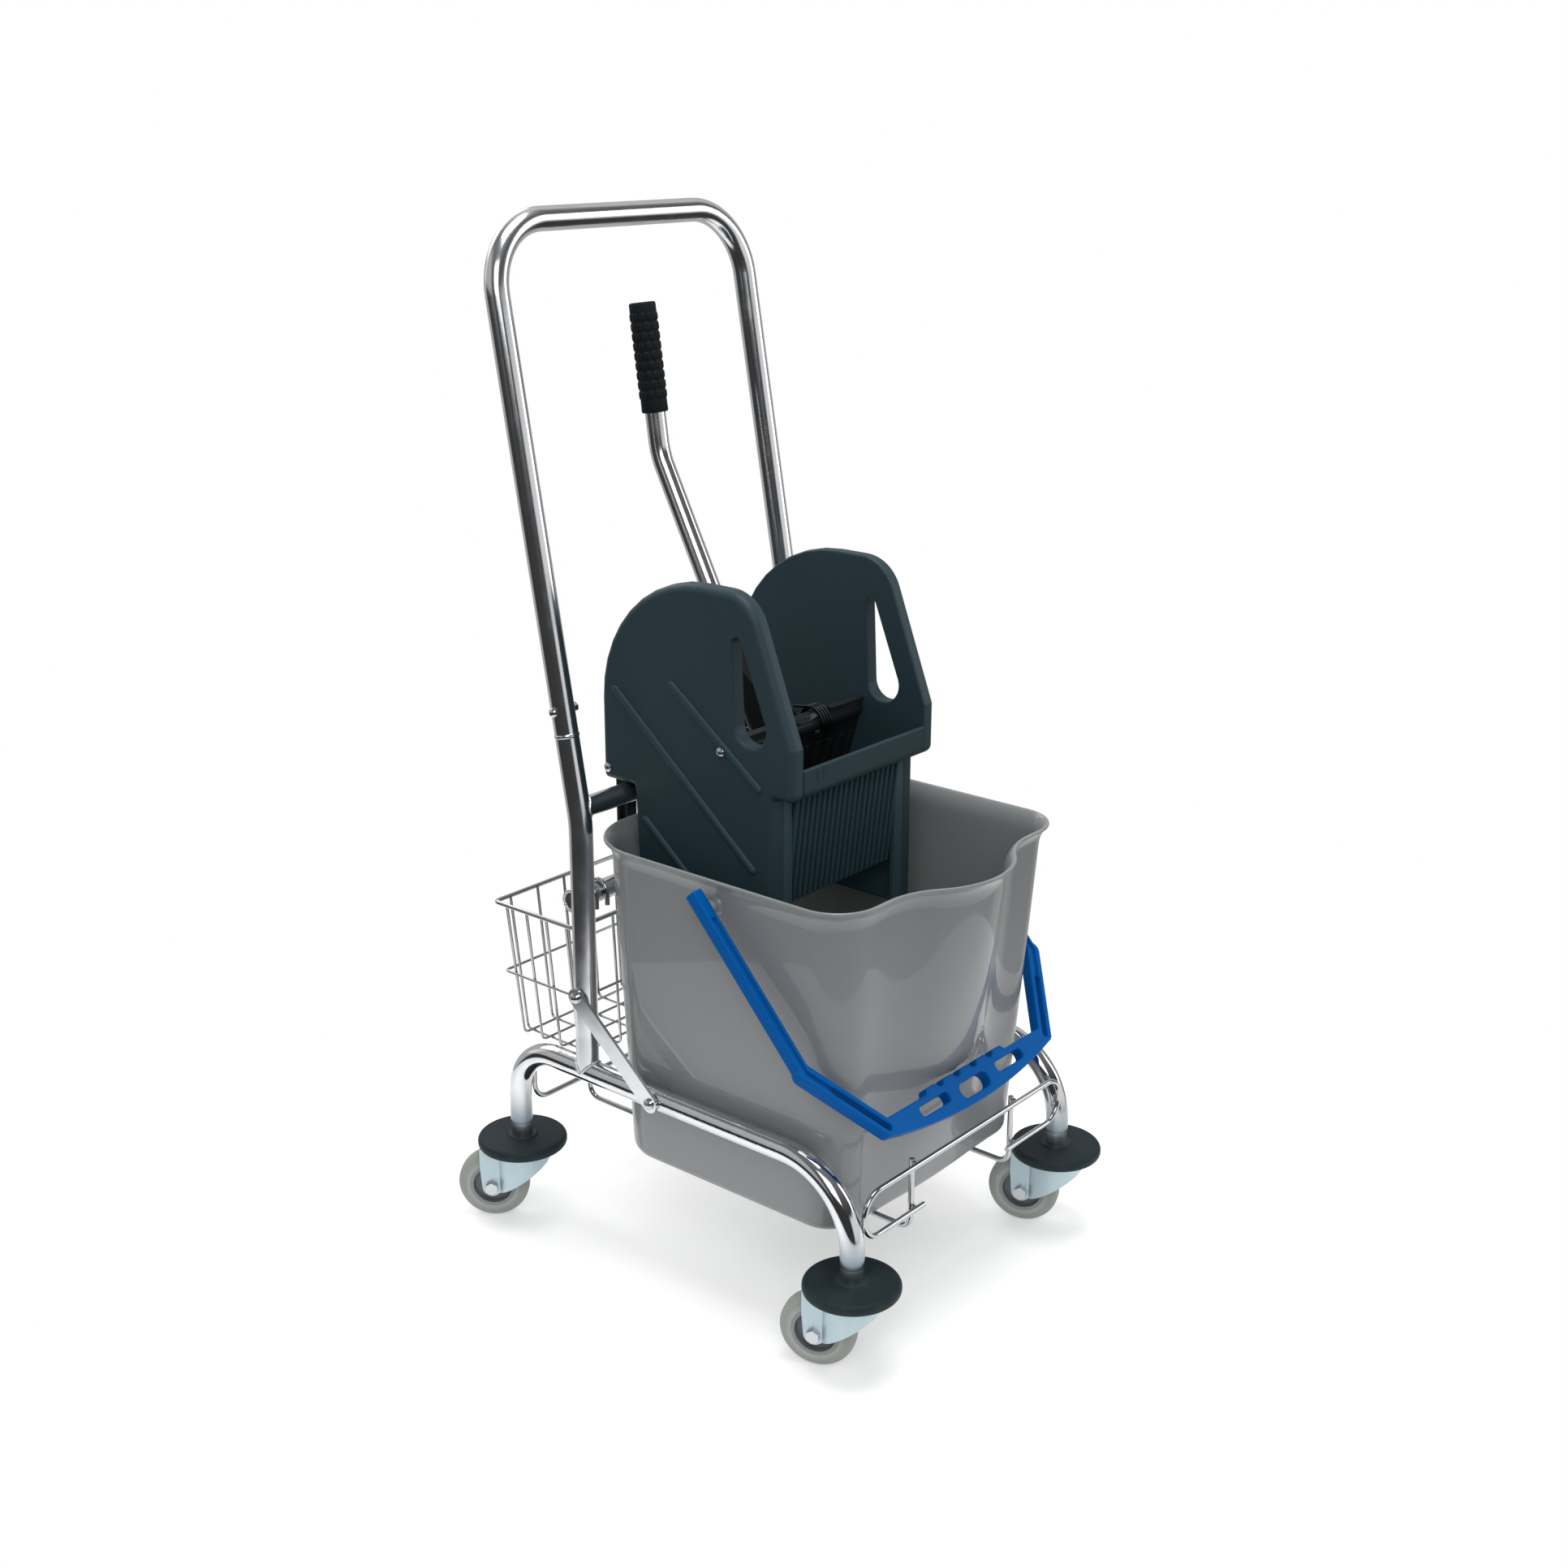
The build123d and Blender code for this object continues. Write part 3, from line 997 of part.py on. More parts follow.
def press_jaw():
    """Jaw with its hub on the shaft, and a lever socket held by two gussets."""
    half = plate_inner - JAW_SIDE_GAP
    room = SPRING_RADIUS + SPRING_WIRE
    body = jaw_plate()
    body -= rod((SPRING_START_X - SPRING_WIRE, PIVOT_Y, PIVOT_HEIGHT),
                (SPRING_START_X + spring_width + SPRING_WIRE, PIVOT_Y, PIVOT_HEIGHT), room)
    body += across(PIVOT_Y, PIVOT_HEIGHT, half, JAW_HUB_DIAMETER / 2)
    socket_radius = LEVER_DIAMETER / 2 + SOCKET_WALL
    socket_end = socket_start + lever_axis * SOCKET_LENGTH
    rest = radians(JAW_REST_ANGLE)
    jaw_reach = JAW_LENGTH * 0.7
    jaw_along = Vector(0, sin(rest), -cos(rest))
    jaw_across = Vector(0, cos(rest), sin(rest))
    jaw_point = pivot + jaw_along * jaw_reach - jaw_across * JAW_THICKNESS
    web_edge = Polyline((PIVOT_Y, PIVOT_HEIGHT), (jaw_point.Y, jaw_point.Z),
                        (socket_start.Y, socket_start.Z), (socket_end.Y, socket_end.Z), close=True)
    web = make_face(web_edge)
    gusset_x = socket_radius - GUSSET_THICKNESS
    for side in (-1, 1):
        near = side * gusset_x if side > 0 else -socket_radius
        body += side_profile(web, near, near + GUSSET_THICKNESS)
    body += rod(tuple(socket_start), tuple(socket_end), socket_radius)
    peg_x = SPRING_START_X + SPRING_WIRE
    peg_place = (SPRING_LEG * 0.8, spring_peg_reach)
    peg = spring_frame * Pos(0, *peg_place) * Rot(0, 90, 0) * Cylinder(
        SPRING_PEG_DIAMETER / 2, peg_x, align=(Align.CENTER, Align.CENTER, Align.MIN))
    lug = side_profile(strap((0, 0), peg_place, SPRING_PEG_DIAMETER), gusset_x, socket_radius)
    body += peg + spring_frame * lug
    bore_end = socket_end + lever_axis
    body -= rod(tuple(lever_foot), tuple(bore_end), LEVER_DIAMETER / 2 + RUNNING_CLEARANCE)
    body -= across(PIVOT_Y, PIVOT_HEIGHT, PLATE_HALF_SPAN, PIVOT_SHAFT_DIAMETER / 2 + RUNNING_CLEARANCE)
    return body - lever_bolt_bore()


def lever_bolt_place():
    """Centre of the cross bolt that keeps the lever in its socket."""
    return socket_start + lever_axis * SOCKET_LENGTH * 0.75


def lever_bolt_bore():
    """Clearance hole for the lever's cross bolt."""
    place = lever_bolt_place()
    return across(place.Y, place.Z, PLATE_HALF_SPAN / 2, LEVER_BOLT_DIAMETER / 2 + BOLT_CLEARANCE)


def lever_tube():
    """Bent lever tube, drilled for its cross bolt."""
    start = lever_foot + lever_axis * SEAT_GAP
    points = [tuple(start), tuple(lever_bend), tuple(lever_tip)]
    radius = LEVER_DIAMETER / 2
    return bent_bar(points, LEVER_BEND_RADIUS, radius, radius - LEVER_WALL) - lever_bolt_bore()


def lever_bolt():
    """Cross bolt through the socket and the lever."""
    place = lever_bolt_place()
    reach = LEVER_DIAMETER / 2 + SOCKET_WALL + WELD_GAP
    return through_bolt((-reach, place.Y, place.Z), (reach, place.Y, place.Z),
                        LEVER_BOLT_DIAMETER, NUT_HEIGHT)


def lever_grip():
    """Soft grip closed over the lever's upper end."""
    end = lever_tip + grip_axis * GRIP_END_WALL
    start = end - grip_axis * GRIP_LENGTH
    body = rod(tuple(start), tuple(end), GRIP_DIAMETER / 2)
    rim = body.edges().filter_by(GeomType.CIRCLE).sort_by(Axis.Z)
    body = fillet([rim[0], rim[-1]], GRIP_END_WALL * 0.9)
    bore_end = lever_tip + grip_axis * SEAT_GAP
    bore_start = start - grip_axis
    return body - rod(tuple(bore_start), tuple(bore_end), LEVER_DIAMETER / 2 + RUNNING_CLEARANCE)


def spring_route():
    """Torsion spring route about the pivot: a leg, half turns of the coil, and a long leg to the spacer."""
    route = Curve() + Line((SPRING_START_X, SPRING_LEG, SPRING_RADIUS), (SPRING_START_X, 0, SPRING_RADIUS))
    for index in range(SPRING_HALF_TURNS):
        x = SPRING_START_X + index * SPRING_PITCH / 2
        up = SPRING_RADIUS if index % 2 == 0 else -SPRING_RADIUS
        route += ThreePointArc((x, 0, up), (x + SPRING_PITCH / 4, -up, 0), (x + SPRING_PITCH / 2, 0, -up))
    end_x = SPRING_START_X + spring_width
    reach = spacer_run * cos(asin(spacer_offset / spacer_run)) + SPACER_DIAMETER / 2
    route += Line((end_x, 0, -SPRING_RADIUS), (end_x, reach, -SPRING_RADIUS))
    return route


def spring_gap():
    """Least clear gap between neighbouring turns, measured on points along the coil."""
    points = []
    for arc in spring_route().edges().filter_by(GeomType.CIRCLE):
        points.append([arc @ (step / 12) for step in range(13)])
    gaps = []
    for first in range(len(points)):
        for second in range(first + 2, len(points)):
            gaps += [(a - b).length - SPRING_WIRE for a in points[first] for b in points[second]]
    return min(gaps)


def return_spring():
    """Torsion spring that swings the jaw and lever back."""
    path = spring_route()
    section = RegularPolygon(SPRING_WIRE / 2, 8)
    coil = sweep(Plane(origin=(SPRING_START_X, SPRING_LEG, SPRING_RADIUS), z_dir=(0, -1, 0)) * section,
                 path=path.wire())
    return spring_frame * coil


# Whole trolley

def frame_pieces():
    """Fixed frame pieces by name."""
    return {
        "left_rail": side_rail(-1),
        "right_rail": side_rail(1),
        "left_upright": upright(-1),
        "right_upright": upright(1),
        "upper_crossbar": crossbar(upper_crossbar_y, UPPER_CROSSBAR_HEIGHT),
        "lower_crossbar": crossbar(lower_crossbar_y, LOWER_CROSSBAR_HEIGHT),
        "push_handle": push_handle(),
        "handle_bolts": handle_bolts(),
        "left_brace": brace(-1),
        "right_brace": brace(1),
        "brace_bolts": brace_bolts(),
        "front_wire_loop": front_wire_loop(),
        "rear_wire_loop": rear_wire_loop(),
        "left_support_wire": support_wire(-1),
        "right_support_wire": support_wire(1),
    }


def caster_pieces():
    """Pieces of the four casters by name."""
    patterns = {
        "caster_stem": caster_stem(),
        "bumper_disc": bumper_disc(),
        "caster_fork": caster_fork(),
        "axle_bolt": axle_bolt(),
        "wheel_core": wheel_core(),
        "wheel_tyre": wheel_tyre(),
    }
    pieces = {}
    for place, (x, y, angle) in caster_places.items():
        for name, pattern in patterns.items():
            pieces[f"{place}_{name}"] = Pos(x, y, 0) * Rot(0, 0, angle) * pattern
    return pieces


def carried_pieces():
    """Bucket, bail, basket, wringer and lever pieces by name."""
    return {
        "bucket": bucket(),
        "bail": bail(),
        "wire_basket": wire_basket(),
        "left_side_plate": side_plate(-1),
        "right_side_plate": side_plate(1),
        "press_grid": press_grid(),
        "hook_brackets": hook_brackets(),
        "tie_rods": tie_rods(),
        "pivot_shaft": pivot_shaft(),
        "press_jaw": press_jaw(),
        "lever_tube": lever_tube(),
        "lever_bolt": lever_bolt(),
        "lever_grip": lever_grip(),
        "return_spring": return_spring(),
    }


def main():
    """Write every piece of the trolley to its own file."""
    os.makedirs("parts", exist_ok=True)
    pieces = {**frame_pieces(), **caster_pieces(), **carried_pieces()}
    for name, piece in pieces.items():
        export_step(piece, f"parts/{name}.step")
    print(f"{len(pieces)} pieces, least spring gap {spring_gap():.2f} mm")


if __name__ == "__main__":
    main()
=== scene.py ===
"""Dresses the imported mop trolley: fine mouldings, wires, grip, welds and finishes over the CAD frame.

The scene is in metres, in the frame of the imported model: +Z up, +X right seen from the front, +Y to the rear.
Sizes in the sub-assemblies are millimetres, as on a drawing, and become metres where a mesh is made.
"""
import logging
from dataclasses import dataclass
from enum import Enum
from functools import cache
from math import acos, asin, atan2, cos, degrees, hypot, pi, radians, sin, sqrt, tan
from typing import Callable, Iterable, Sequence

import bmesh
import bpy
from bpy.types import Material, Mesh, Node, NodeSocket, NodeTree, Object
from mathutils import Matrix, Vector
from mathutils.geometry import tessellate_polygon


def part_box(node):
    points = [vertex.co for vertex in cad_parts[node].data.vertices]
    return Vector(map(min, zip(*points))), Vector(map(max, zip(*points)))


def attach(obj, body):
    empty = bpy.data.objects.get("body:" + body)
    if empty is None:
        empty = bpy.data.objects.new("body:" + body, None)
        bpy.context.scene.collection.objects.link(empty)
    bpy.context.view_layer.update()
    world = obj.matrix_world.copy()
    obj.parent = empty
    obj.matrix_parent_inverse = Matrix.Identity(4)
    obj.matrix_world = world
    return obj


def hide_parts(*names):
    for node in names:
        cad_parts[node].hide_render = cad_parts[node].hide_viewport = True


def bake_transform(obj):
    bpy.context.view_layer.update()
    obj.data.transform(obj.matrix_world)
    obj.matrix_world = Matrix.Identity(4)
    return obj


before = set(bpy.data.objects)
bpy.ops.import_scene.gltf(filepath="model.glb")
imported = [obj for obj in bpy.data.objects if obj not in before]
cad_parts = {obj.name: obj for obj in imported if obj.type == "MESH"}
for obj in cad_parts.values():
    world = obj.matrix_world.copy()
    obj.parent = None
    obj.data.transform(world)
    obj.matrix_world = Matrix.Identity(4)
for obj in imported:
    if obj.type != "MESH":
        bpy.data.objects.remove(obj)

log = logging.getLogger("trolley")
MM = 0.001
# Millimetres within which points become one, and degrees from which an edge stays a crease
MERGE = 0.002
CREASE = 38.0
CAD_MERGE = 0.004
CAD_CREASE = 32.0
Flat = tuple[float, float]
Corner = tuple[float, float, float]
Colour = tuple[float, float, float]
Faces = list[tuple[int, ...]]


class Side(Enum):
    """The two sides of the trolley, seen from the front."""

    LEFT = -1
    RIGHT = 1


class Axis(Enum):
    """The three axes, by their place in a point."""

    X = 0
    Y = 1
    Z = 2


# Node sheets


class NodeSheet:
    """A node tree under construction; one method makes any node."""

    def __init__(self, tree: NodeTree) -> None:
        """Keeps the tree that nodes are added to."""
        self.tree = tree

    def plug(self, node: Node, sockets: dict) -> None:
        """Sets or links inputs of a node.

        Args:
            node: the node.
            sockets: numbers, values, sockets, or nodes for their first output, by an input's name or number.
        """
        for key, given in sockets.items():
            if isinstance(given, Node):
                given = given.outputs[0]
            elif isinstance(given, Value):
                given = given.socket
            if isinstance(given, NodeSocket):
                self.tree.links.new(given, node.inputs[key])
            else:
                node.inputs[key].default_value = given

    def node(self, kind: str, sockets: dict | None = None, **settings: object) -> Node:
        """Adds a node.

        Args:
            kind: the node's type.
            sockets: values or links of its inputs, by name or number.
            settings: what is set on the node first.

        Returns:
            The node.
        """
        made = self.tree.nodes.new(kind)
        for name, setting in settings.items():
            setattr(made, name, setting)
        self.plug(made, sockets or {})
        return made


def arithmetic(operation: str, reflected: bool = False) -> Callable[..., "Value"]:
    """A method for values that adds one Math node.

    Args:
        operation: the node's operation.
        reflected: whether the other number comes first.

    Returns:
        The method.
    """
    def method(value: "Value", other: "Value | float" = 0.0) -> "Value":
        """Adds the node and wraps its result."""
        pair = (other, value) if reflected else (value, other)
        made = value.sheet.node("ShaderNodeMath", dict(enumerate(pair)), operation=operation)
        return Value(value.sheet, made.outputs[0])

    return method


class Value:
    """A number on a node socket; arithmetic on it adds Math nodes."""

    def __init__(self, sheet: NodeSheet, socket: NodeSocket) -> None:
        """Wraps a socket of a sheet."""
        self.sheet = sheet
        self.socket = socket

    __add__, __radd__ = arithmetic("ADD"), arithmetic("ADD", True)
    __sub__, __rsub__ = arithmetic("SUBTRACT"), arithmetic("SUBTRACT", True)
    __mul__, __rmul__ = arithmetic("MULTIPLY"), arithmetic("MULTIPLY", True)
    __truediv__, __rtruediv__ = arithmetic("DIVIDE"), arithmetic("DIVIDE", True)
    __mod__, __rmod__ = arithmetic("FLOORED_MODULO"), arithmetic("FLOORED_MODULO", True)
    floor, cosine, sine = arithmetic("FLOOR"), arithmetic("COSINE"), arithmetic("SINE")

    def ease(self, low: float, high: float) -> "Value":
        """Rises smoothly from 0 at low to 1 at high."""
        span = {"Value": self, "From Min": low, "From Max": high}
        made = self.sheet.node("ShaderNodeMapRange", span, interpolation_type="SMOOTHSTEP")
        return Value(self.sheet, made.outputs["Result"])


class FinishSheet(NodeSheet):
    """The node sheet of one material, with a Principled shader to feed."""

    # Pointiness that counts as flat, and as a sharp edge
    blunt = 0.505
    sharp = 0.60

    def __init__(self, name: str) -> None:
        """Starts an empty material.

        Args:
            name: the material's name.
        """
        self.material = bpy.data.materials.new(name)
        self.material.use_nodes = True
        super().__init__(self.material.node_tree)
        self.tree.nodes.clear()
        self.shader = self.node("ShaderNodeBsdfPrincipled")
        self.node("ShaderNodeOutputMaterial", {"Surface": self.shader})
        self.place = self.node("ShaderNodeTexCoord").outputs["Object"]

    def noise(self, scale: float, detail: float = 3.0, stretch: Corner = (1.0, 1.0, 1.0)) -> Value:
        """Soft noise from 0 to 1.

        Args:
            scale: blotches per metre.
            detail: octaves of finer noise.
            stretch: factors of the three axes.

        Returns:
            The noise.
        """
        mapped = self.node("ShaderNodeMapping", {"Vector": self.place, "Scale": stretch})
        made = self.node("ShaderNodeTexNoise", {"Vector": mapped, "Scale": scale, "Detail": detail})
        return Value(self, made.outputs[0])

    def cells(self, scale: float) -> Value:
        """Random shade of each cell of a crystal pattern, so many cells per metre."""
        made = self.node("ShaderNodeTexVoronoi", {"Vector": self.place, "Scale": scale})
        return Value(self, self.node("ShaderNodeSeparateColor", {0: made.outputs["Color"]}).outputs[0])

    def along(self, axis: Axis) -> Value:
        """Place along an axis, in metres."""
        return Value(self, self.node("ShaderNodeSeparateXYZ", {0: self.place}).outputs[axis.value])

    def edge(self) -> Value:
        """Convex edges as 1 and flat or hollow places as 0."""
        bend = Value(self, self.node("ShaderNodeNewGeometry").outputs["Pointiness"])
        return bend.ease(self.blunt, self.sharp)

    def blend(self, share: Value | float, first: object, second: object) -> NodeSocket:
        """Mix of two colours by a share from 0 to 1."""
        return self.node("ShaderNodeMix", {0: share, 6: first, 7: second}, data_type="RGBA").outputs[2]

    def feed(self, **sockets: object) -> None:
        """Sets or links the shader's own sockets, with spaces written as underscores."""
        self.plug(self.shader, {key.replace("_", " "): given for key, given in sockets.items()})

    def bump(self, height: Value, depth: float, strength: float) -> None:
        """Raises the surface by a height from 0 to 1, times a depth in metres."""
        sockets = {"Height": height, "Distance": depth, "Strength": strength}
        self.feed(Normal=self.node("ShaderNodeBump", sockets))


def shade(colour: Colour, factor: float = 1.0) -> tuple[float, ...]:
    """A colour made lighter or darker by a factor, with full alpha."""
    return (*(min(1.0, part * factor) for part in colour), 1.0)


def grey(level: float) -> tuple[float, ...]:
    """A grey with full alpha."""
    return shade((level, level, level))


# Finishes


@dataclass(frozen=True)
class Plating:
    """Bright or satin plated steel with handling marks and fine drawing lines, dull below a height."""

    name: str
    tint: Colour = (0.70, 0.71, 0.73)
    polish: float = 0.06
    smear: float = 0.07
    dull_tint: Colour = (0.22, 0.27, 0.30)
    dull_below: float = 0.0

    def make(self) -> Material:
        """Builds the material.

        Returns:
            The material.
        """
        sheet = FinishSheet(self.name)
        marks = sheet.noise(scale=22.0, detail=5.0).ease(0.48, 0.72)
        lines = sheet.noise(scale=420.0, detail=2.0, stretch=(1.0, 1.0, 0.06))
        dull = 1.0 - sheet.along(Axis.Z).ease(self.dull_below - 0.020, self.dull_below + 0.026)
        worn = sheet.blend(marks, shade(self.tint), shade(self.tint, 0.9))
        sheet.feed(Base_Color=sheet.blend(dull, worn, shade(self.dull_tint)), Metallic=1.0,
                   Roughness=self.polish + marks * self.smear + lines * 0.03 + dull * 0.12)
        sheet.bump(lines, depth=0.00002, strength=0.25)
        return sheet.material


@dataclass(frozen=True)
class Zinc:
    """Pressed sheet with a bluish zinc coat, a faint crystal pattern and scuffed edges."""

    name: str
    tint: Colour = (0.33, 0.41, 0.44)

    def make(self) -> Material:
        """Builds the material.

        Returns:
            The material.
        """
        sheet = FinishSheet(self.name)
        crystal = sheet.cells(scale=420.0)
        cloud = sheet.noise(scale=60.0, detail=4.0)
        patchy = sheet.blend(cloud, shade(self.tint, 0.86), shade(self.tint, 1.14))
        sheet.feed(Base_Color=sheet.blend(sheet.edge(), patchy, shade(self.tint, 1.35)), Metallic=0.72,
                   Roughness=0.30 + crystal * 0.10 + cloud * 0.12)
        sheet.bump(cloud, depth=0.00015, strength=0.3)
        return sheet.material


@dataclass(frozen=True)
class Moulding:
    """Injection moulded plastic: flow marks, fine grain, scuffs and paler worn edges."""

    name: str
    tint: Colour
    gloss: float = 0.42
    grain: float = 1800.0
    grain_depth: float = 0.00006
    edge_lift: float = 1.6
    coat: float = 0.0
    mottle: float = 0.06
    shine: float = 0.25

    def make(self) -> Material:
        """Builds the material.

        Returns:
            The material.
        """
        sheet = FinishSheet(self.name)
        flow = sheet.noise(scale=9.0, detail=4.0, stretch=(1.0, 1.0, 0.35))
        scuff = sheet.noise(scale=70.0, detail=6.0, stretch=(1.0, 1.0, 3.0)).ease(0.60, 0.78)
        worn = sheet.edge()
        body = sheet.blend(flow, shade(self.tint, 1.0 - self.mottle), shade(self.tint, 1.0 + self.mottle))
        scuffed = sheet.blend(scuff * 0.25, body, shade(self.tint, 1.25))
        sheet.feed(Base_Color=sheet.blend(worn * 0.6, scuffed, shade(self.tint, self.edge_lift)),
                   Roughness=self.gloss + scuff * 0.10 + flow * 0.05 - worn * 0.06,
                   Coat_Weight=self.coat, Coat_Roughness=0.04, Specular_IOR_Level=self.shine)
        sheet.bump(sheet.noise(scale=self.grain, detail=2.0), self.grain_depth, strength=0.35)
        return sheet.material


@dataclass(frozen=True)
class Rubber:
    """Matt rubber with a dusty bloom and rubbed edges."""

    name: str
    tint: Colour
    bloom: Colour
    gloss: float
    shine: float = 0.12

    def make(self) -> Material:
        """Builds the material.

        Returns:
            The material.
        """
        sheet = FinishSheet(self.name)
        dust = sheet.noise(scale=45.0, detail=6.0).ease(0.42, 0.80)
        worn = sheet.edge()
        dusty = sheet.blend(dust * 0.55, shade(self.tint), shade(self.bloom))
        sheet.feed(Base_Color=sheet.blend(worn * 0.4, dusty, shade(self.bloom, 1.25)),
                   Roughness=self.gloss + dust * 0.16 - worn * 0.08, Specular_IOR_Level=self.shine)
        sheet.bump(sheet.noise(scale=1500.0), depth=0.00010, strength=0.4)
        return sheet.material


@dataclass(frozen=True)
class FloorPaper:
    """Pale paper that takes shadows in the middle and glows white farther out."""

    name: str
    near: float = 0.16
    far: float = 0.62

    def make(self) -> Material:
        """Builds the material.

        Returns:
            The material.
        """
        sheet = FinishSheet(self.name)
        across, ahead = sheet.along(Axis.X), sheet.along(Axis.Y)
        outside = (across * across + ahead * ahead).ease(self.near, self.far)
        pale = sheet.blend(sheet.noise(scale=3.0, detail=2.0), grey(0.80), grey(0.82))
        sheet.feed(Base_Color=sheet.blend(outside, pale, grey(0.0)), Roughness=0.8, Specular_IOR_Level=0.0,
                   Emission_Color=sheet.blend(outside, grey(0.30), grey(1.0)), Emission_Strength=1.0)
        return sheet.material


class Finish(Enum):
    """Every finish of the scene."""

    CHROME = Plating("chrome", polish=0.15)
    LEG_CHROME = Plating("leg_chrome", dull_below=0.138)
    WIRE_CHROME = Plating("wire_chrome", (0.48, 0.49, 0.50), 0.12, 0.10)
    DARK_STEEL = Plating("dark_steel", (0.52, 0.56, 0.58), 0.22, 0.12)
    BLACK_STEEL = Plating("black_steel", (0.035, 0.037, 0.040), 0.35, 0.10)
    BOLT_STEEL = Plating("bolt_steel", (0.55, 0.56, 0.57), 0.16, 0.10)
    ZINC = Zinc("zinc")
    BUCKET = Moulding("bucket_plastic", (0.200, 0.210, 0.214), 0.40, 1100.0, 0.00001, 1.25, 0.55, 0.03, 0.3)
    BAIL = Moulding("bail_plastic", (0.000, 0.084, 0.318), 0.38, 1600.0, 0.00003, 1.6, shine=0.05)
    WRINGER = Moulding("wringer_plastic", (0.0180, 0.0385, 0.0480), 0.46, 1500.0, 0.00008, 2.0)
    # the wringer plastic darkened about 0.6 times: painted shade on the front beam and the panel behind its
    # grid
    BEAM_PAINTED_SHADE = Moulding("beam_plastic", (0.0090, 0.0230, 0.0285), 0.46, 1500.0, 0.00008, 2.0)
    BLACK = Moulding("black_plastic", (0.007, 0.008, 0.009), 0.44, 1500.0, 0.00006, 2.4)
    CORE = Moulding("wheel_plastic", (0.165, 0.170, 0.178), 0.40)
    BUMPER = Rubber("bumper_rubber", (0.0150, 0.0240, 0.0285), (0.030, 0.044, 0.052), 0.50)
    TYRE = Rubber("tyre_rubber", (0.262, 0.280, 0.262), (0.34, 0.35, 0.32), 0.52)
    GRIP = Rubber("grip_rubber", (0.0062, 0.0085, 0.0098), (0.010, 0.013, 0.015), 0.64)
    FLOOR = FloorPaper("studio_floor")

    @cache
    def material(self) -> Material:
        """The finish's material, built once."""
        return self.value.make()


# Flat shapes


def mix(pair: Flat, share: float) -> float:
    """A number between the two of a pair."""
    return pair[0] + (pair[1] - pair[0]) * share


def circle(count: int) -> list[float]:
    """Bearings of equal steps round a full turn, in radians."""
    return [2 * pi * index / count for index in range(count)]


def turns(last: int, step: int) -> list[float]:
    """Bearings from 0 to a last one, given in degrees and returned in radians."""
    return [radians(turn) for turn in range(0, last + 1, step)]


def quarter(radius: float, step: int = 15) -> list[Flat]:
    """Steps in degrees round a rounded edge, each as its distances from the two sides of the edge."""
    return [(radius * (1 - cos(turn)), radius * (1 - sin(turn))) for turn in turns(90, step)]


def arc(centre: Sequence[float], radius: float, first: float, last: float, steps: int) -> list[Flat]:
    """Points on an arc, both ends included, with bearings in degrees."""
    bearings = [radians(first + (last - first) * step / steps) for step in range(steps + 1)]
    return [(centre[0] + radius * cos(turn), centre[1] + radius * sin(turn)) for turn in bearings]


def lift(x: float, ring: Iterable[Flat]) -> list[Vector]:
    """A flat ring of (y, z) points, placed at a distance across."""
    return [Vector((x, y, z)) for y, z in ring]


@dataclass(frozen=True)
class Outline:
    """A closed flat outline of corners (across, up, radius), drawn anticlockwise."""

    corners: tuple[Corner, ...]
    steps: int
    least: float = 0.05

    @staticmethod
    def bend(points: Sequence[Vector], index: int) -> tuple[Vector, Vector, float]:
        """How an outline turns at a corner.

        Args:
            points: the corners.
            index: which of them.

        Returns:
            The directions into and out of it, and 1 for a turn to the left or -1 for one to the right.
        """
        before = (points[index] - points[index - 1]).normalized()
        after = (points[(index + 1) % len(points)] - points[index]).normalized()
        return before, after, 1.0 if before.x * after.y - before.y * after.x > 0 else -1.0

    def ring(self, inset: float = 0.0) -> list[Flat]:
        """Points of the outline, with the same count for every inset.

        Args:
            inset: how far the outline is drawn in, negative to widen it.

        Returns:
            The points.
        """
        sharp = [Vector(corner[:2]) for corner in self.corners]
        drawn = []
        radii = []
        for index, (here, corner) in enumerate(zip(sharp, self.corners)):
            before, after, hand = self.bend(sharp, index)
            inward = Vector((-before.y, before.x)) + Vector((-after.y, after.x))
            drawn.append(here + inward * (inset / max(self.least, 0.5 * inward.length_squared)))
            radii.append(max(self.least, corner[2] - hand * inset))
        points: list[Flat] = []
        for index, (here, radius) in enumerate(zip(drawn, radii)):
            before, after, hand = self.bend(drawn, index)
            swing = acos(max(-1.0, min(1.0, before.dot(after))))
            start = here - before * (radius * tan(swing / 2))
            centre = start + Vector((-before.y, before.x)) * hand * radius
            first = atan2(start.y - centre.y, start.x - centre.x)
            points += arc(centre, radius, degrees(first), degrees(first + hand * swing), self.steps)
        return points


def rectangle(low: Flat, high: Flat, radius: float, steps: int) -> Outline:
    """Outline of a rectangle with rounded corners, between two opposite ones."""
    spots = (low, (high[0], low[1]), high, (low[0], high[1]))
    return Outline(tuple((*spot, radius) for spot in spots), steps)


def bent_line(points: Sequence[Sequence[float]], radius: float, steps: int = 8) -> list[Vector]:
    """A line of straight runs with rounded corners.

    Args:
        points: the ends and corners.
        radius: radius of the bends.
        steps: steps round each bend.

    Returns:
        The line's points.
    """
    line = [Vector(points[0])]
    for before, here, after in zip(points, points[1:], points[2:]):
        corner = Vector(here)
        back = (Vector(before) - corner).normalized()
        ahead = (Vector(after) - corner).normalized()
        half = acos(max(-1.0, min(1.0, back.dot(ahead)))) / 2
        run = radius / tan(half)
        centre = corner + (back + ahead).normalized() * (radius / sin(half))
        start = corner + back * run - centre
        end = corner + ahead * run - centre
        for step in range(steps + 1):
            line.append(centre + start.slerp(end, step / steps).normalized() * radius)
    line.append(Vector(points[-1]))
    return line


# Meshes and pieces


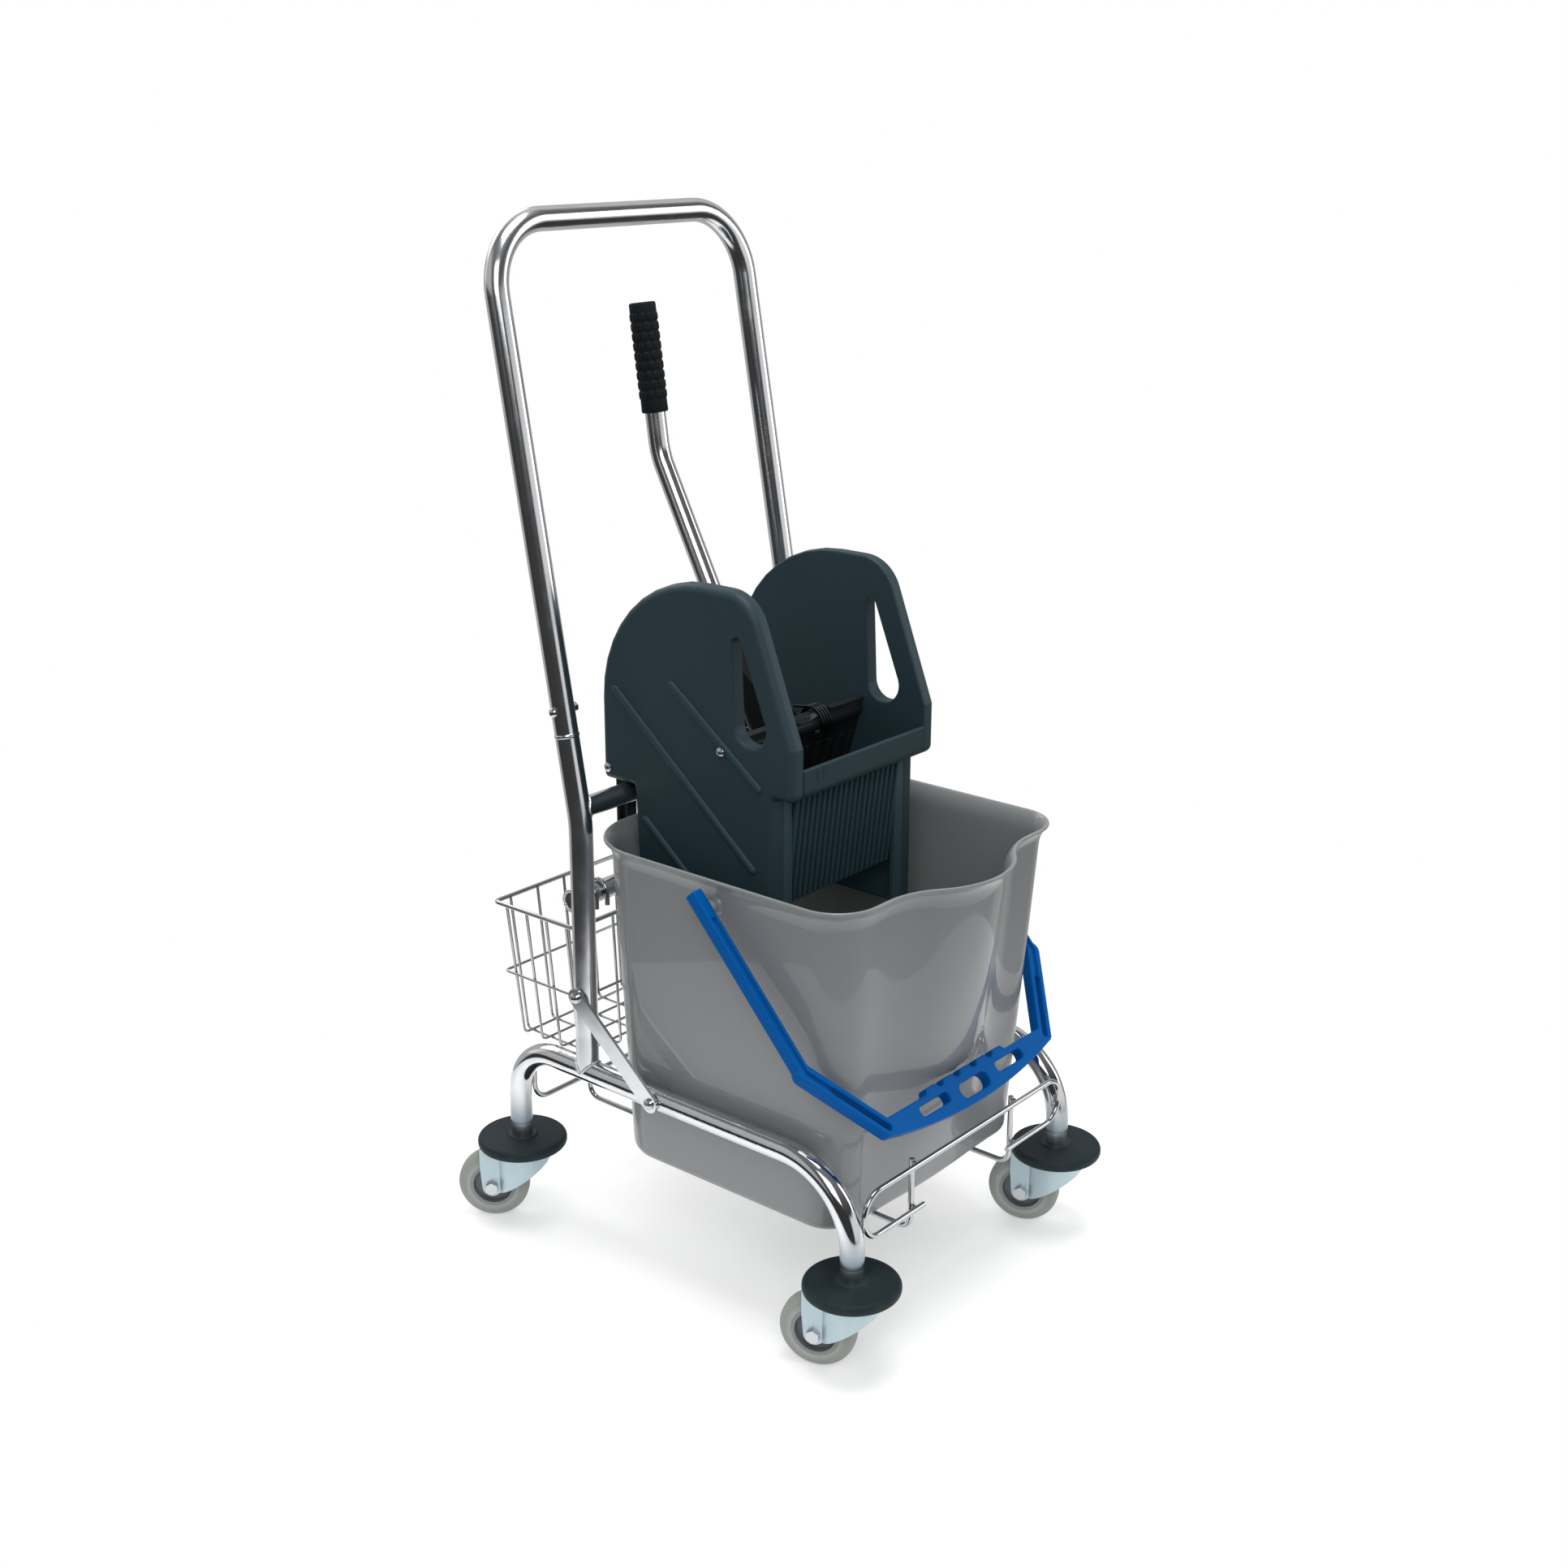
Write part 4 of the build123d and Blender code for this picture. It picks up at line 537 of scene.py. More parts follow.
def bare_mesh(name: str, points: Iterable[Sequence[float]], edges: Iterable, faces: Iterable) -> Mesh:
    """Makes a mesh.

    Args:
        name: its name.
        points: its points in millimetres.
        edges: pairs of point numbers.
        faces: rings of point numbers.

    Returns:
        The mesh.
    """
    mesh = bpy.data.meshes.new(name)
    mesh.from_pydata([Vector(point) * MM for point in points], list(edges), list(faces))
    return mesh


def edge_mesh(name: str, lines: Sequence[Sequence[Vector]], closed: bool = False) -> Mesh:
    """A mesh of edges along several lines, for a recipe that follows a path.

    Args:
        name: the mesh's name.
        lines: points of each line.
        closed: whether each line runs back to its start.

    Returns:
        The mesh.
    """
    points: list[Vector] = []
    edges: list[tuple[int, int]] = []
    for line in lines:
        first = len(points)
        points += line
        edges += [(index, index + 1) for index in range(first, len(points) - 1)]
        if closed:
            edges.append((len(points) - 1, first))
    return bare_mesh(name, points, edges, [])


def settle(mesh: Mesh, crease: float = CREASE) -> Mesh:
    """Joins doubled points, turns faces outwards and shades smooth except over creases.

    Args:
        mesh: the mesh to settle.
        crease: least angle in degrees that stays a crease.

    Returns:
        The same mesh.
    """
    work = bmesh.new()
    work.from_mesh(mesh)
    bmesh.ops.remove_doubles(work, verts=work.verts, dist=MERGE * MM)
    bmesh.ops.dissolve_degenerate(work, edges=work.edges, dist=MERGE * MM / 4)
    bmesh.ops.recalc_face_normals(work, faces=work.faces)
    for face in work.faces:
        face.smooth = True
    for edge in work.edges:
        edge.smooth = len(edge.link_faces) == 2 and edge.calc_face_angle(0.0) < radians(crease)
    work.to_mesh(mesh)
    work.free()
    return mesh


def wear(mesh: Mesh, finish: Finish) -> None:
    """Gives a mesh one finish."""
    mesh.materials.clear()
    mesh.materials.append(finish.material())


def place_piece(mesh: Mesh, finish: Finish | None = None) -> Object:
    """Puts a mesh into the scene as a piece of its name.

    Args:
        mesh: the mesh.
        finish: its finish, if it has one yet.

    Returns:
        The piece.
    """
    piece = bpy.data.objects.new(mesh.name, mesh)
    bpy.context.scene.collection.objects.link(piece)
    if finish:
        wear(mesh, finish)
    return piece


def flatten(piece: Object) -> Object:
    """Bakes a piece's modifiers into a plain mesh.

    Args:
        piece: the piece.

    Returns:
        The same piece.
    """
    graph = bpy.context.evaluated_depsgraph_get()
    baked = bpy.data.meshes.new_from_object(piece.evaluated_get(graph), depsgraph=graph)
    piece.modifiers.clear()
    piece.data = baked
    return piece


def even_normals(piece: Object) -> Object:
    """Weights normals by face area, so that flat faces stay flat beside their rounded edges."""
    piece.modifiers.new("even", "WEIGHTED_NORMAL").keep_sharp = True
    return flatten(piece)


class Stock:
    """Points and faces that are gathered into one mesh."""

    def __init__(self) -> None:
        """Starts empty."""
        self.points: list[Vector] = []
        self.faces: Faces = []

    def add(self, rings: Iterable[Sequence[Vector]], faces: Faces) -> None:
        """Adds rings of points, and faces that number them from 0."""
        first = len(self.points)
        self.points += [point for ring in rings for point in ring]
        self.faces += [tuple(first + index for index in face) for face in faces]

    def loft(self, rings: Sequence[Sequence[Vector]], cap_first: bool = True, cap_last: bool = True) -> None:
        """Joins closed rings of equal length into a skin.

        Args:
            rings: rings of points in order.
            cap_first: closes the first ring with one face.
            cap_last: closes the last ring with one face.
        """
        count = len(rings[0])
        faces: Faces = []
        for row in range(0, (len(rings) - 1) * count, count):
            for index in range(count):
                following = row + (index + 1) % count
                faces.append((row + index, following, following + count, row + index + count))
        if cap_first:
            faces.append(tuple(range(count)))
        if cap_last:
            faces.append(tuple(range((len(rings) - 1) * count, len(rings) * count)))
        self.add(rings, faces)

    def fill(self, loops: Sequence[Sequence[Vector]]) -> None:
        """Closes a flat outline with holes; the first loop is the outline."""
        self.add(loops, [tuple(triangle) for triangle in tessellate_polygon(loops)])

    def turn(self, profile: Sequence[Flat], sides: int, axis: Axis, centre: Sequence[float] = (0, 0, 0),
             lean: float = 0.0) -> None:
        """Adds a solid of turning.

        Args:
            profile: (radius, along) points.
            sides: how many sides stand for the round.
            axis: the axis it is turned about.
            centre: where the solid's own origin goes.
            lean: degrees that it leans to the rear.
        """
        place = Matrix.Translation(centre) @ Matrix.Rotation(-radians(lean), 4, "X")
        rings = []
        for radius, along in profile:
            ring = []
            for turn in circle(sides):
                spot = [radius * cos(turn), radius * sin(turn)]
                spot.insert(axis.value, along)
                ring.append(place @ Vector(spot))
            rings.append(ring)
        self.loft(rings, profile[0][0] > 0.0, profile[-1][0] > 0.0)

    def mesh(self, name: str, crease: float) -> Mesh:
        """The gathered mesh, settled."""
        return settle(bare_mesh(name, self.points, [], self.faces), crease)

    def piece(self, name: str, finish: Finish, crease: float = CREASE) -> Object:
        """The gathered mesh as a piece."""
        return place_piece(self.mesh(name, crease), finish)


def dress(finish: Finish, *nodes: str) -> None:
    """Gives CAD nodes that stay a finish and smooth shading.

    Args:
        finish: the finish.
        nodes: names of the nodes.
    """
    for node in nodes:
        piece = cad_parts[node]
        wear(piece.data, finish)
        piece.modifiers.new("smooth", "NODES").node_group = smoothing_tree()
        log.info("CAD node %s wears %s", node, finish.value.name)


def fit(piece: Object, body: str, slot: str, *replaces: str) -> None:
    """Hangs a new piece on a body.

    Args:
        piece: the piece.
        body: the CAD body it moves with.
        slot: name of a material slot; not used.
        replaces: CAD nodes that it stands for.
    """
    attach(piece, body)
    if replaces:
        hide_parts(*replaces)
    log.info("piece %s rides on %s, %d faces", piece.name, body, len(piece.data.polygons))


# Recipes of repeating shapes


class Recipe(NodeSheet):
    """A Geometry Nodes tree with named sizes, run on a starting mesh."""

    def __init__(self, name: str, **sizes: float | int) -> None:
        """Starts a tree.

        Args:
            name: the tree's name.
            sizes: named inputs and their defaults.
        """
        super().__init__(bpy.data.node_groups.new(name, "GeometryNodeTree"))
        face = self.tree.interface
        face.new_socket("Start", in_out="INPUT", socket_type="NodeSocketGeometry")
        self.keys: dict[str, str] = {}
        for label, default in sizes.items():
            kind = "NodeSocketInt" if isinstance(default, int) else "NodeSocketFloat"
            made = face.new_socket(label, in_out="INPUT", socket_type=kind)
            made.default_value = default
            self.keys[label] = made.identifier
        made = face.new_socket("Finish", in_out="INPUT", socket_type="NodeSocketMaterial")
        self.keys["Finish"] = made.identifier
        face.new_socket("Result", in_out="OUTPUT", socket_type="NodeSocketGeometry")
        self.entry = self.node("NodeGroupInput")
        self.start = self.entry.outputs["Start"]

    def size(self, label: str) -> Value:
        """A named size as a value."""
        return Value(self, self.entry.outputs[label])

    def vector(self, x: Value | float = 0.0, y: Value | float = 0.0, z: Value | float = 0.0) -> Node:
        """A vector from three values."""
        return self.node("ShaderNodeCombineXYZ", {"X": x, "Y": y, "Z": z})

    def close(self, geometry: Node) -> "Recipe":
        """Ends the tree in plain geometry with a finish.

        Args:
            geometry: the node that makes the geometry.

        Returns:
            The recipe.
        """
        real = self.node("GeometryNodeRealizeInstances", {"Geometry": geometry})
        finish = self.entry.outputs["Finish"]
        done = self.node("GeometryNodeSetMaterial", {"Geometry": real, "Material": finish})
        self.node("NodeGroupOutput", {"Result": done})
        return self

    def run(self, start: Mesh, finish: Finish, **sizes: float | int) -> Object:
        """Runs the tree on a mesh.

        Args:
            start: the starting mesh, which has the piece's name.
            finish: the piece's finish.
            sizes: values of the named inputs, lengths in metres.

        Returns:
            A piece with a plain mesh.
        """
        piece = place_piece(start)
        modifier = piece.modifiers.new("recipe", "NODES")
        modifier.node_group = self.tree
        for label, value in {**sizes, "Finish": finish.material()}.items():
            modifier[self.keys[label]] = value
        return flatten(piece)


@cache
def row_recipe() -> Recipe:
    """Copies of the starting shape in a row along X.

    Returns:
        The recipe.
    """
    recipe = Recipe("row_of_copies", Count=4, First=0.0, Pitch=0.01)
    line = recipe.node("GeometryNodeMeshLine", {
        "Count": recipe.size("Count"), "Start Location": recipe.vector(recipe.size("First")),
        "Offset": recipe.vector(recipe.size("Pitch"))})
    copies = recipe.node("GeometryNodeInstanceOnPoints", {"Points": line, "Instance": recipe.start})
    return recipe.close(copies)


@cache
def wire_recipe() -> Recipe:
    """Round wire along the edges of the starting mesh.

    Returns:
        The recipe.
    """
    recipe = Recipe("round_wire", Radius=0.002, Sides=12)
    path = recipe.node("GeometryNodeMeshToCurve", {"Mesh": recipe.start})
    section = recipe.node("GeometryNodeCurvePrimitiveCircle", {
        "Resolution": recipe.size("Sides"), "Radius": recipe.size("Radius")})
    skin = recipe.node("GeometryNodeCurveToMesh", {
        "Curve": path, "Profile Curve": section, "Fill Caps": True})
    return recipe.close(recipe.node("GeometryNodeSetShadeSmooth", {"Geometry": skin}))


@cache
def bead_recipe() -> Recipe:
    """Weld bead: overlapping drops of uneven size along the edges of the starting mesh.

    Returns:
        The recipe.
    """
    recipe = Recipe("weld_bead", Pitch=0.0014, Size=0.0017, Seed=7)
    path = recipe.node("GeometryNodeMeshToCurve", {"Mesh": recipe.start})
    spaced = recipe.node("GeometryNodeResampleCurve", {
        "Curve": path, "Length": recipe.size("Pitch")}, mode="LENGTH")
    drop = recipe.node("GeometryNodeMeshIcoSphere", {"Radius": recipe.size("Size"), "Subdivisions": 2})
    vary = recipe.node("FunctionNodeRandomValue", {2: 0.82, 3: 1.18, "Seed": recipe.size("Seed")})
    drops = recipe.node("GeometryNodeInstanceOnPoints", {
        "Points": spaced, "Instance": drop, "Scale": vary.outputs[1]})
    real = recipe.node("GeometryNodeRealizeInstances", {"Geometry": drops})
    return recipe.close(recipe.node("GeometryNodeSetShadeSmooth", {"Geometry": real}))


@cache
def knob_recipe() -> Recipe:
    """Staggered knobs round a sleeve on the Z axis; the starting mesh is one knob lying on X.

    Returns:
        The recipe.
    """
    recipe = Recipe("staggered_knobs", Rows=8, Around=8, Sleeve=0.0135, First=0.02, Pitch=0.01)
    around, sleeve = recipe.size("Around"), recipe.size("Sleeve")
    line = recipe.node("GeometryNodeMeshLine", {"Count": recipe.size("Rows") * around})
    index = Value(recipe, recipe.node("GeometryNodeInputIndex").outputs[0])
    row = (index / around).floor()
    turn = (index % around + row % 2.0 * 0.5) / around * (2 * pi)
    height = recipe.size("First") + row * recipe.size("Pitch")
    spot = recipe.vector(turn.cosine() * sleeve, turn.sine() * sleeve, height)
    spots = recipe.node("GeometryNodeSetPosition", {"Geometry": line, "Position": spot})
    return recipe.close(recipe.node("GeometryNodeInstanceOnPoints", {
        "Points": spots, "Instance": recipe.start, "Rotation": recipe.vector(z=turn)}))


@cache
def smoothing_tree() -> NodeTree:
    """A tree that joins a CAD node's loose triangles and shades them smooth between creases.

    Returns:
        The tree, for a modifier.
    """
    tree = bpy.data.node_groups.new("smooth_pressing", "GeometryNodeTree")
    tree.interface.new_socket("Start", in_out="INPUT", socket_type="NodeSocketGeometry")
    tree.interface.new_socket("Result", in_out="OUTPUT", socket_type="NodeSocketGeometry")
    sheet = NodeSheet(tree)
    start = sheet.node("NodeGroupInput")
    joined = sheet.node("GeometryNodeMergeByDistance", {"Geometry": start, "Distance": CAD_MERGE * MM})
    bare = sheet.node("GeometryNodeRemoveAttribute", {"Geometry": joined, "Name": "custom_normal"})
    smooth = sheet.node("GeometryNodeSetShadeSmooth", {"Geometry": bare})
    angle = sheet.node("GeometryNodeInputMeshEdgeAngle").outputs["Unsigned Angle"]
    sharp = sheet.node("FunctionNodeCompare", {0: angle, 1: radians(CAD_CREASE)}, operation="GREATER_THAN")
    creased = sheet.node("GeometryNodeSetShadeSmooth", {
        "Geometry": smooth, "Selection": sharp, "Shade Smooth": False}, domain="EDGE")
    sheet.node("NodeGroupOutput", {0: creased})
    return tree


# Sub-assemblies


@dataclass
class TubeFrame:
    """Rails, uprights, push handle, crossbars and braces, with their welds."""

    tube: float = 12.5
    bar: float = 11.0
    side_x: float = 185.0
    rail_z: float = 214.0
    upright_y: float = 127.0
    bend_z: float = 498.0
    lean: float = 10.1
    joint_z: float = 589.0
    upper_bar: Flat = (129.32, 511.0)
    lower_bar: Flat = (144.0, 405.0)
    foot_weld_reach: float = 13.0
    bar_weld_reach: float = 11.4
    # Height and half length of the swage ring, and the radius and place of its foot
    swage: Flat = (1.3, 2.2)
    swage_foot: Flat = (11.9, -2.6)

    def foot_weld(self, side: Side) -> list[Vector]:
        """Saddle line where an upright stands on its rail.

        Args:
            side: the upright's side.

        Returns:
            The line.
        """
        line = []
        for turn in circle(40):
            across, ahead = self.foot_weld_reach * cos(turn), self.foot_weld_reach * sin(turn)
            x = side.value * self.side_x + across
            line.append(Vector((x, self.upright_y + ahead, self.rail_z + abs(ahead))))
        return line

    def bar_weld(self, side: Side, place: Flat, upright_y: float) -> list[Vector]:
        """Saddle line where a crossbar meets an upright.

        Args:
            side: the upright's side.
            place: the crossbar's axis.
            upright_y: the upright's axis at that height.

        Returns:
            The line.
        """
        line = []
        for y, z in arc(place, self.bar_weld_reach, 0, 350, 35):
            off = min(self.tube, abs(y - upright_y))
            x = self.side_x - sqrt(self.tube ** 2 - off ** 2)
            line.append(Vector((side.value * x, y, z)))
        return line

    def shoulders(self) -> Object:
        """Rounded swage rings on the uprights under the handle tube.

        Returns:
            The piece.
        """
        stock = Stock()
        (proud, half), (radius, foot) = self.swage, self.swage_foot
        profile = [(radius + proud * sin(turn), foot + half * (1 - cos(turn))) for turn in turns(180, 15)]
        y = self.upright_y + (self.joint_z - self.bend_z) * tan(radians(self.lean))
        for side in Side:
            stock.turn(profile, 40, Axis.Z, (side.value * self.side_x, y, self.joint_z), self.lean)
        return stock.piece("handle_shoulders", Finish.CHROME)

    def build(self) -> None:
        """Dresses the tubes and adds welds and shoulders."""
        dress(Finish.LEG_CHROME, "left_rail", "right_rail")
        dress(Finish.CHROME, "left_upright", "right_upright", "upper_crossbar", "lower_crossbar",
              "push_handle", "left_brace", "right_brace")
        dress(Finish.BOLT_STEEL, "handle_bolts", "brace_bolts")
        lines = []
        for side in Side:
            lines.append(self.foot_weld(side))
            lines.append(self.bar_weld(side, self.upper_bar, self.upper_bar[0]))
            lines.append(self.bar_weld(side, self.lower_bar, self.upright_y))
        start = edge_mesh("frame_welds", lines, closed=True)
        fit(bead_recipe().run(start, Finish.CHROME, Pitch=0.0016, Size=0.0017, Seed=7), "frame", "chrome")
        fit(self.shoulders(), "frame", "chrome")


@dataclass
class WireCradle:
    """Front and rear wire loops and the two support wires under the bucket."""

    front_y: float = -239.4
    rear_y: float = 226.4
    support_x: float = 89.0
    top_z: float = 189.0
    return_z: float = 139.0
    rear_z: float = 138.0
    hairpin: Corner = (174.3, -238.6, 156.0)
    bow_end: Corner = (172.4, 229.8, 168.0)
    # Distance of a weld line from the wire's axis, and half its length
    cross_weld: Flat = (2.4, 2.6)
    leg_weld: Flat = (1.6, 6.0)

    def weld_lines(self) -> list[list[Vector]]:
        """Short weld lines where wires cross or meet the legs.

        Returns:
            The lines.
        """
        crossings = ((self.front_y, self.top_z), (self.front_y, self.return_z), (self.rear_y, self.rear_z))
        spots = []
        for side in Side:
            off, half = self.cross_weld
            x = side.value * self.support_x
            spots += [(x + edge * off, y, z, half) for y, z in crossings for edge in (-1, 1)]
            off, half = self.leg_weld
            for x, y, z in (self.hairpin, self.bow_end):
                spots += [(side.value * x, y + edge * off, z, half) for edge in (-1, 1)]
        return [[Vector((x, y, z - half)), Vector((x, y, z + half))] for x, y, z, half in spots]

    def build(self) -> None:
        """Dresses the wires and adds their spot welds."""
        finish = Finish.WIRE_CHROME
        dress(finish, "front_wire_loop", "rear_wire_loop", "left_support_wire", "right_support_wire")
        start = edge_mesh("wire_welds", self.weld_lines())
        fit(bead_recipe().run(start, finish, Pitch=0.0015, Size=0.0013, Seed=11), "frame", "chrome")


@dataclass
class Caster:
    """One swivel caster: stem, bumper disc, fork, axle bolt, wheel centre and tyre."""

    place: str
    skirt_foot: Flat = (36.0, 25.5)
    skirt_rise: float = 34.5

    def middle(self, node: str) -> Vector:
        """Middle of one of the caster's CAD nodes."""
        low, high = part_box(f"{self.place}_{node}")
        return (low + high) / 2

    def fork(self) -> Object:
        """The CAD fork with its skirt cut along a line that rises from the cheeks to the head.

        Returns:
            The piece.
        """
        mesh = settle(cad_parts[f"{self.place}_caster_fork"].data.copy())
        mesh.name = f"{self.place}_fork_pressing"
        stem = self.middle("caster_stem")
        trail = (self.middle("wheel_core") - stem).to_2d().normalized().to_3d()
        foot, height = (size * MM for size in self.skirt_foot)
        rise = radians(self.skirt_rise)
        work = bmesh.new()
        work.from_mesh(mesh)
        cut = bmesh.ops.bisect_plane(work, geom=[*work.verts, *work.edges, *work.faces], clear_outer=True,
                                     plane_co=Vector((stem.x, stem.y, height)) + trail * foot,
                                     plane_no=-trail * sin(rise) - Vector((0.0, 0.0, cos(rise))))
        rim = [part for part in cut["geom_cut"] if isinstance(part, bmesh.types.BMEdge)]
        bmesh.ops.triangle_fill(work, use_beauty=True, edges=rim)
        work.to_mesh(mesh)
        work.free()
        return place_piece(settle(mesh), Finish.ZINC)

    def build(self) -> None:
        """Trims the fork and dresses the caster's other pieces."""
        fit(self.fork(), f"{self.place}_swivel", "zinc", f"{self.place}_caster_fork")
        for node, finish in (("caster_stem", Finish.DARK_STEEL), ("bumper_disc", Finish.BUMPER),
                             ("axle_bolt", Finish.BOLT_STEEL), ("wheel_core", Finish.CORE),
                             ("wheel_tyre", Finish.TYRE)):
            dress(finish, f"{self.place}_{node}")


@dataclass
class Bucket:
    """Moulded bucket with a rolled lip and a pouring bulge."""

    # Sizes at the foot and at the rim
    half: Flat = (164.0, 181.5)
    rear: Flat = (110.0, 126.0)
    front: Flat = (198.0, 217.0)
    rear_corner: Flat = (52.0, 70.0)
    spout: Flat = (3.0, 41.0)
    # Sizes that stay the same
    front_corner: float = 40.0
    spout_half: float = 120.0
    floor_z: float = 118.3
    wall_height: float = 344.0
    wall: float = 3.0
    foot: float = 12.0
    pivot: Flat = (-55.0, 451.3)
    boss: float = 7.5
    boss_face: float = 191.4
    # Heights of the rings, which in the lip go with how far each is widened
    outside: tuple[float, ...] = (30, 60, 95, 130, 170, 210, 250, 290, 320, 336)
    lip: tuple[Flat, ...] = (
        (342.0, 0.10), (347.0, 0.75), (351.0, 1.9), (354.5, 3.5), (357.0, 5.2), (358.6, 6.7), (359.4, 7.7),
        (359.9, 8.25), (360.6, 8.5), (361.6, 8.4), (362.4, 8.0), (362.9, 7.3), (363.0, 6.5), (362.8, 5.6),
        (362.2, 4.7), (360.6, 3.2), (357.6, 1.2), (353.4, -0.8), (348.0, -2.2), (342.0, -2.85))
    inside: tuple[float, ...] = (332, 300, 250, 200, 150, 100, 60, 30)
    # Rings of each floor, as shares of its outermost one
    floor_shares: tuple[float, ...] = (1.0, 0.96, 0.6, 0.25)

    def outline(self, height: float, grow: float) -> list[Vector]:
        """Section at a height above the bucket's floor.

        Args:
            height: millimetres above the floor.
            grow: how far the section is widened.

        Returns:
            The ring of points.
        """
        share = height / self.wall_height
        half, rear, corner = (mix(pair, share) for pair in (self.half, self.rear, self.rear_corner))
        front, spout = -mix(self.front, share), mix(self.spout, share)
        sweep = (self.spout_half ** 2 + spout ** 2) / (4 * spout)
        swing = degrees(asin(self.spout_half / 2 / sweep))
        rear_x, front_x = half - corner, half - self.front_corner
        nose, hollow_y = front + self.front_corner, front - sweep
        # Bends in order, each with the number of steps of the straight run after it
        bends = [(arc((rear_x, rear - corner), corner + grow, 0, 90, 14), 10),
                 (arc((-rear_x, rear - corner), corner + grow, 90, 180, 14), 14),
                 (arc((-front_x, nose), self.front_corner + grow, 180, 270, 12), 3),
                 (arc((-self.spout_half, hollow_y), sweep - grow, 90, 90 - swing, 9)[:-1], 0),
                 (arc((0, front - spout + sweep), sweep + grow, 270 - swing, 270 + swing, 20)[:-1], 0),
                 (arc((self.spout_half, hollow_y), sweep - grow, 90 + swing, 90, 9), 3),
                 (arc((front_x, nose), self.front_corner + grow, 270, 360, 12), 14)]
        ring: list[Flat] = []
        for index, (bend, between) in enumerate(bends):
            ring += bend
            run = list(zip(bend[-1], bends[(index + 1) % len(bends)][0][0]))
            ring += [(mix(run[0], step / between), mix(run[1], step / between)) for step in range(1, between)]
        return [Vector((x, y, self.floor_z + height)) for x, y in ring]

    def shell_profile(self) -> list[Flat]:
        """(height, grow) of every ring, from the foot outside, over the lip, to the floor inside.

        Returns:
            The pairs.
        """
        rings = [(rise, -inset) for rise, inset in quarter(self.foot)]
        rings += [(height, 0.0) for height in self.outside]
        rings += self.lip
        rings += [(height, -self.wall) for height in self.inside]
        hollow = reversed(quarter(self.foot - self.wall))
        return rings + [(self.wall + rise, -self.wall - inset) for rise, inset in hollow]

    def add_bosses(self, stock: Stock) -> None:
        """Adds round bosses for the bail's pegs, with a filleted root.

        Args:
            stock: what they are added to.
        """
        root, face, boss = self.half[1], self.boss_face, self.boss
        profile = [(boss + 4.0, root - 1.5), (boss + 1.6, root + 0.4), (boss + 0.3, root + 2.2),
                   (boss, root + 4.0), (boss, face - 0.8), (boss - 0.8, face)]
        for side in Side:
            sided = [(radius, side.value * along) for radius, along in profile]
            stock.turn(sided, 32, Axis.X, (0, *self.pivot))

    def build(self) -> None:
        """Makes the shell with both floors and hangs it on the bucket's body."""
        stock = Stock()
        rings = [self.outline(height, grow) for height, grow in self.shell_profile()]
        stock.loft(rings, False, False)
        for ring in (rings[0], rings[-1]):
            centre = sum(ring, Vector()) / len(ring)
            floor = [[centre + (point - centre) * share for point in ring] for share in self.floor_shares]
            stock.loft(floor, cap_first=False)
        self.add_bosses(stock)
        shell = stock.piece("bucket_shell", Finish.BUCKET, crease=60.0)
        fit(shell, "bucket_body", "bucket_plastic", "bucket")


@dataclass
class Bail:
    """Swinging bail, one rounded moulding made from the CAD form."""

    rest: float = 42.347
    voxel: float = 1.0
    passes: int = 6
    softness: float = 0.5

    def build(self) -> None:
        """Rounds the CAD form's edges as a moulding's are."""
        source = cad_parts["bail"].data.copy()
        source.name = "bail_moulding"
        level = Matrix.Rotation(radians(self.rest), 4, "X")
        source.transform(level)
        piece = place_piece(settle(source), Finish.BAIL)
        remesh = piece.modifiers.new("skin", "REMESH")
        remesh.mode = "VOXEL"
        remesh.voxel_size = self.voxel * MM
        remesh.use_smooth_shade = True
        soft = piece.modifiers.new("soft", "SMOOTH")
        soft.factor = self.softness
        soft.iterations = self.passes
        flatten(piece)
        piece.data.transform(level.inverted())
        fit(piece, "bail_body", "bail_plastic", "bail")


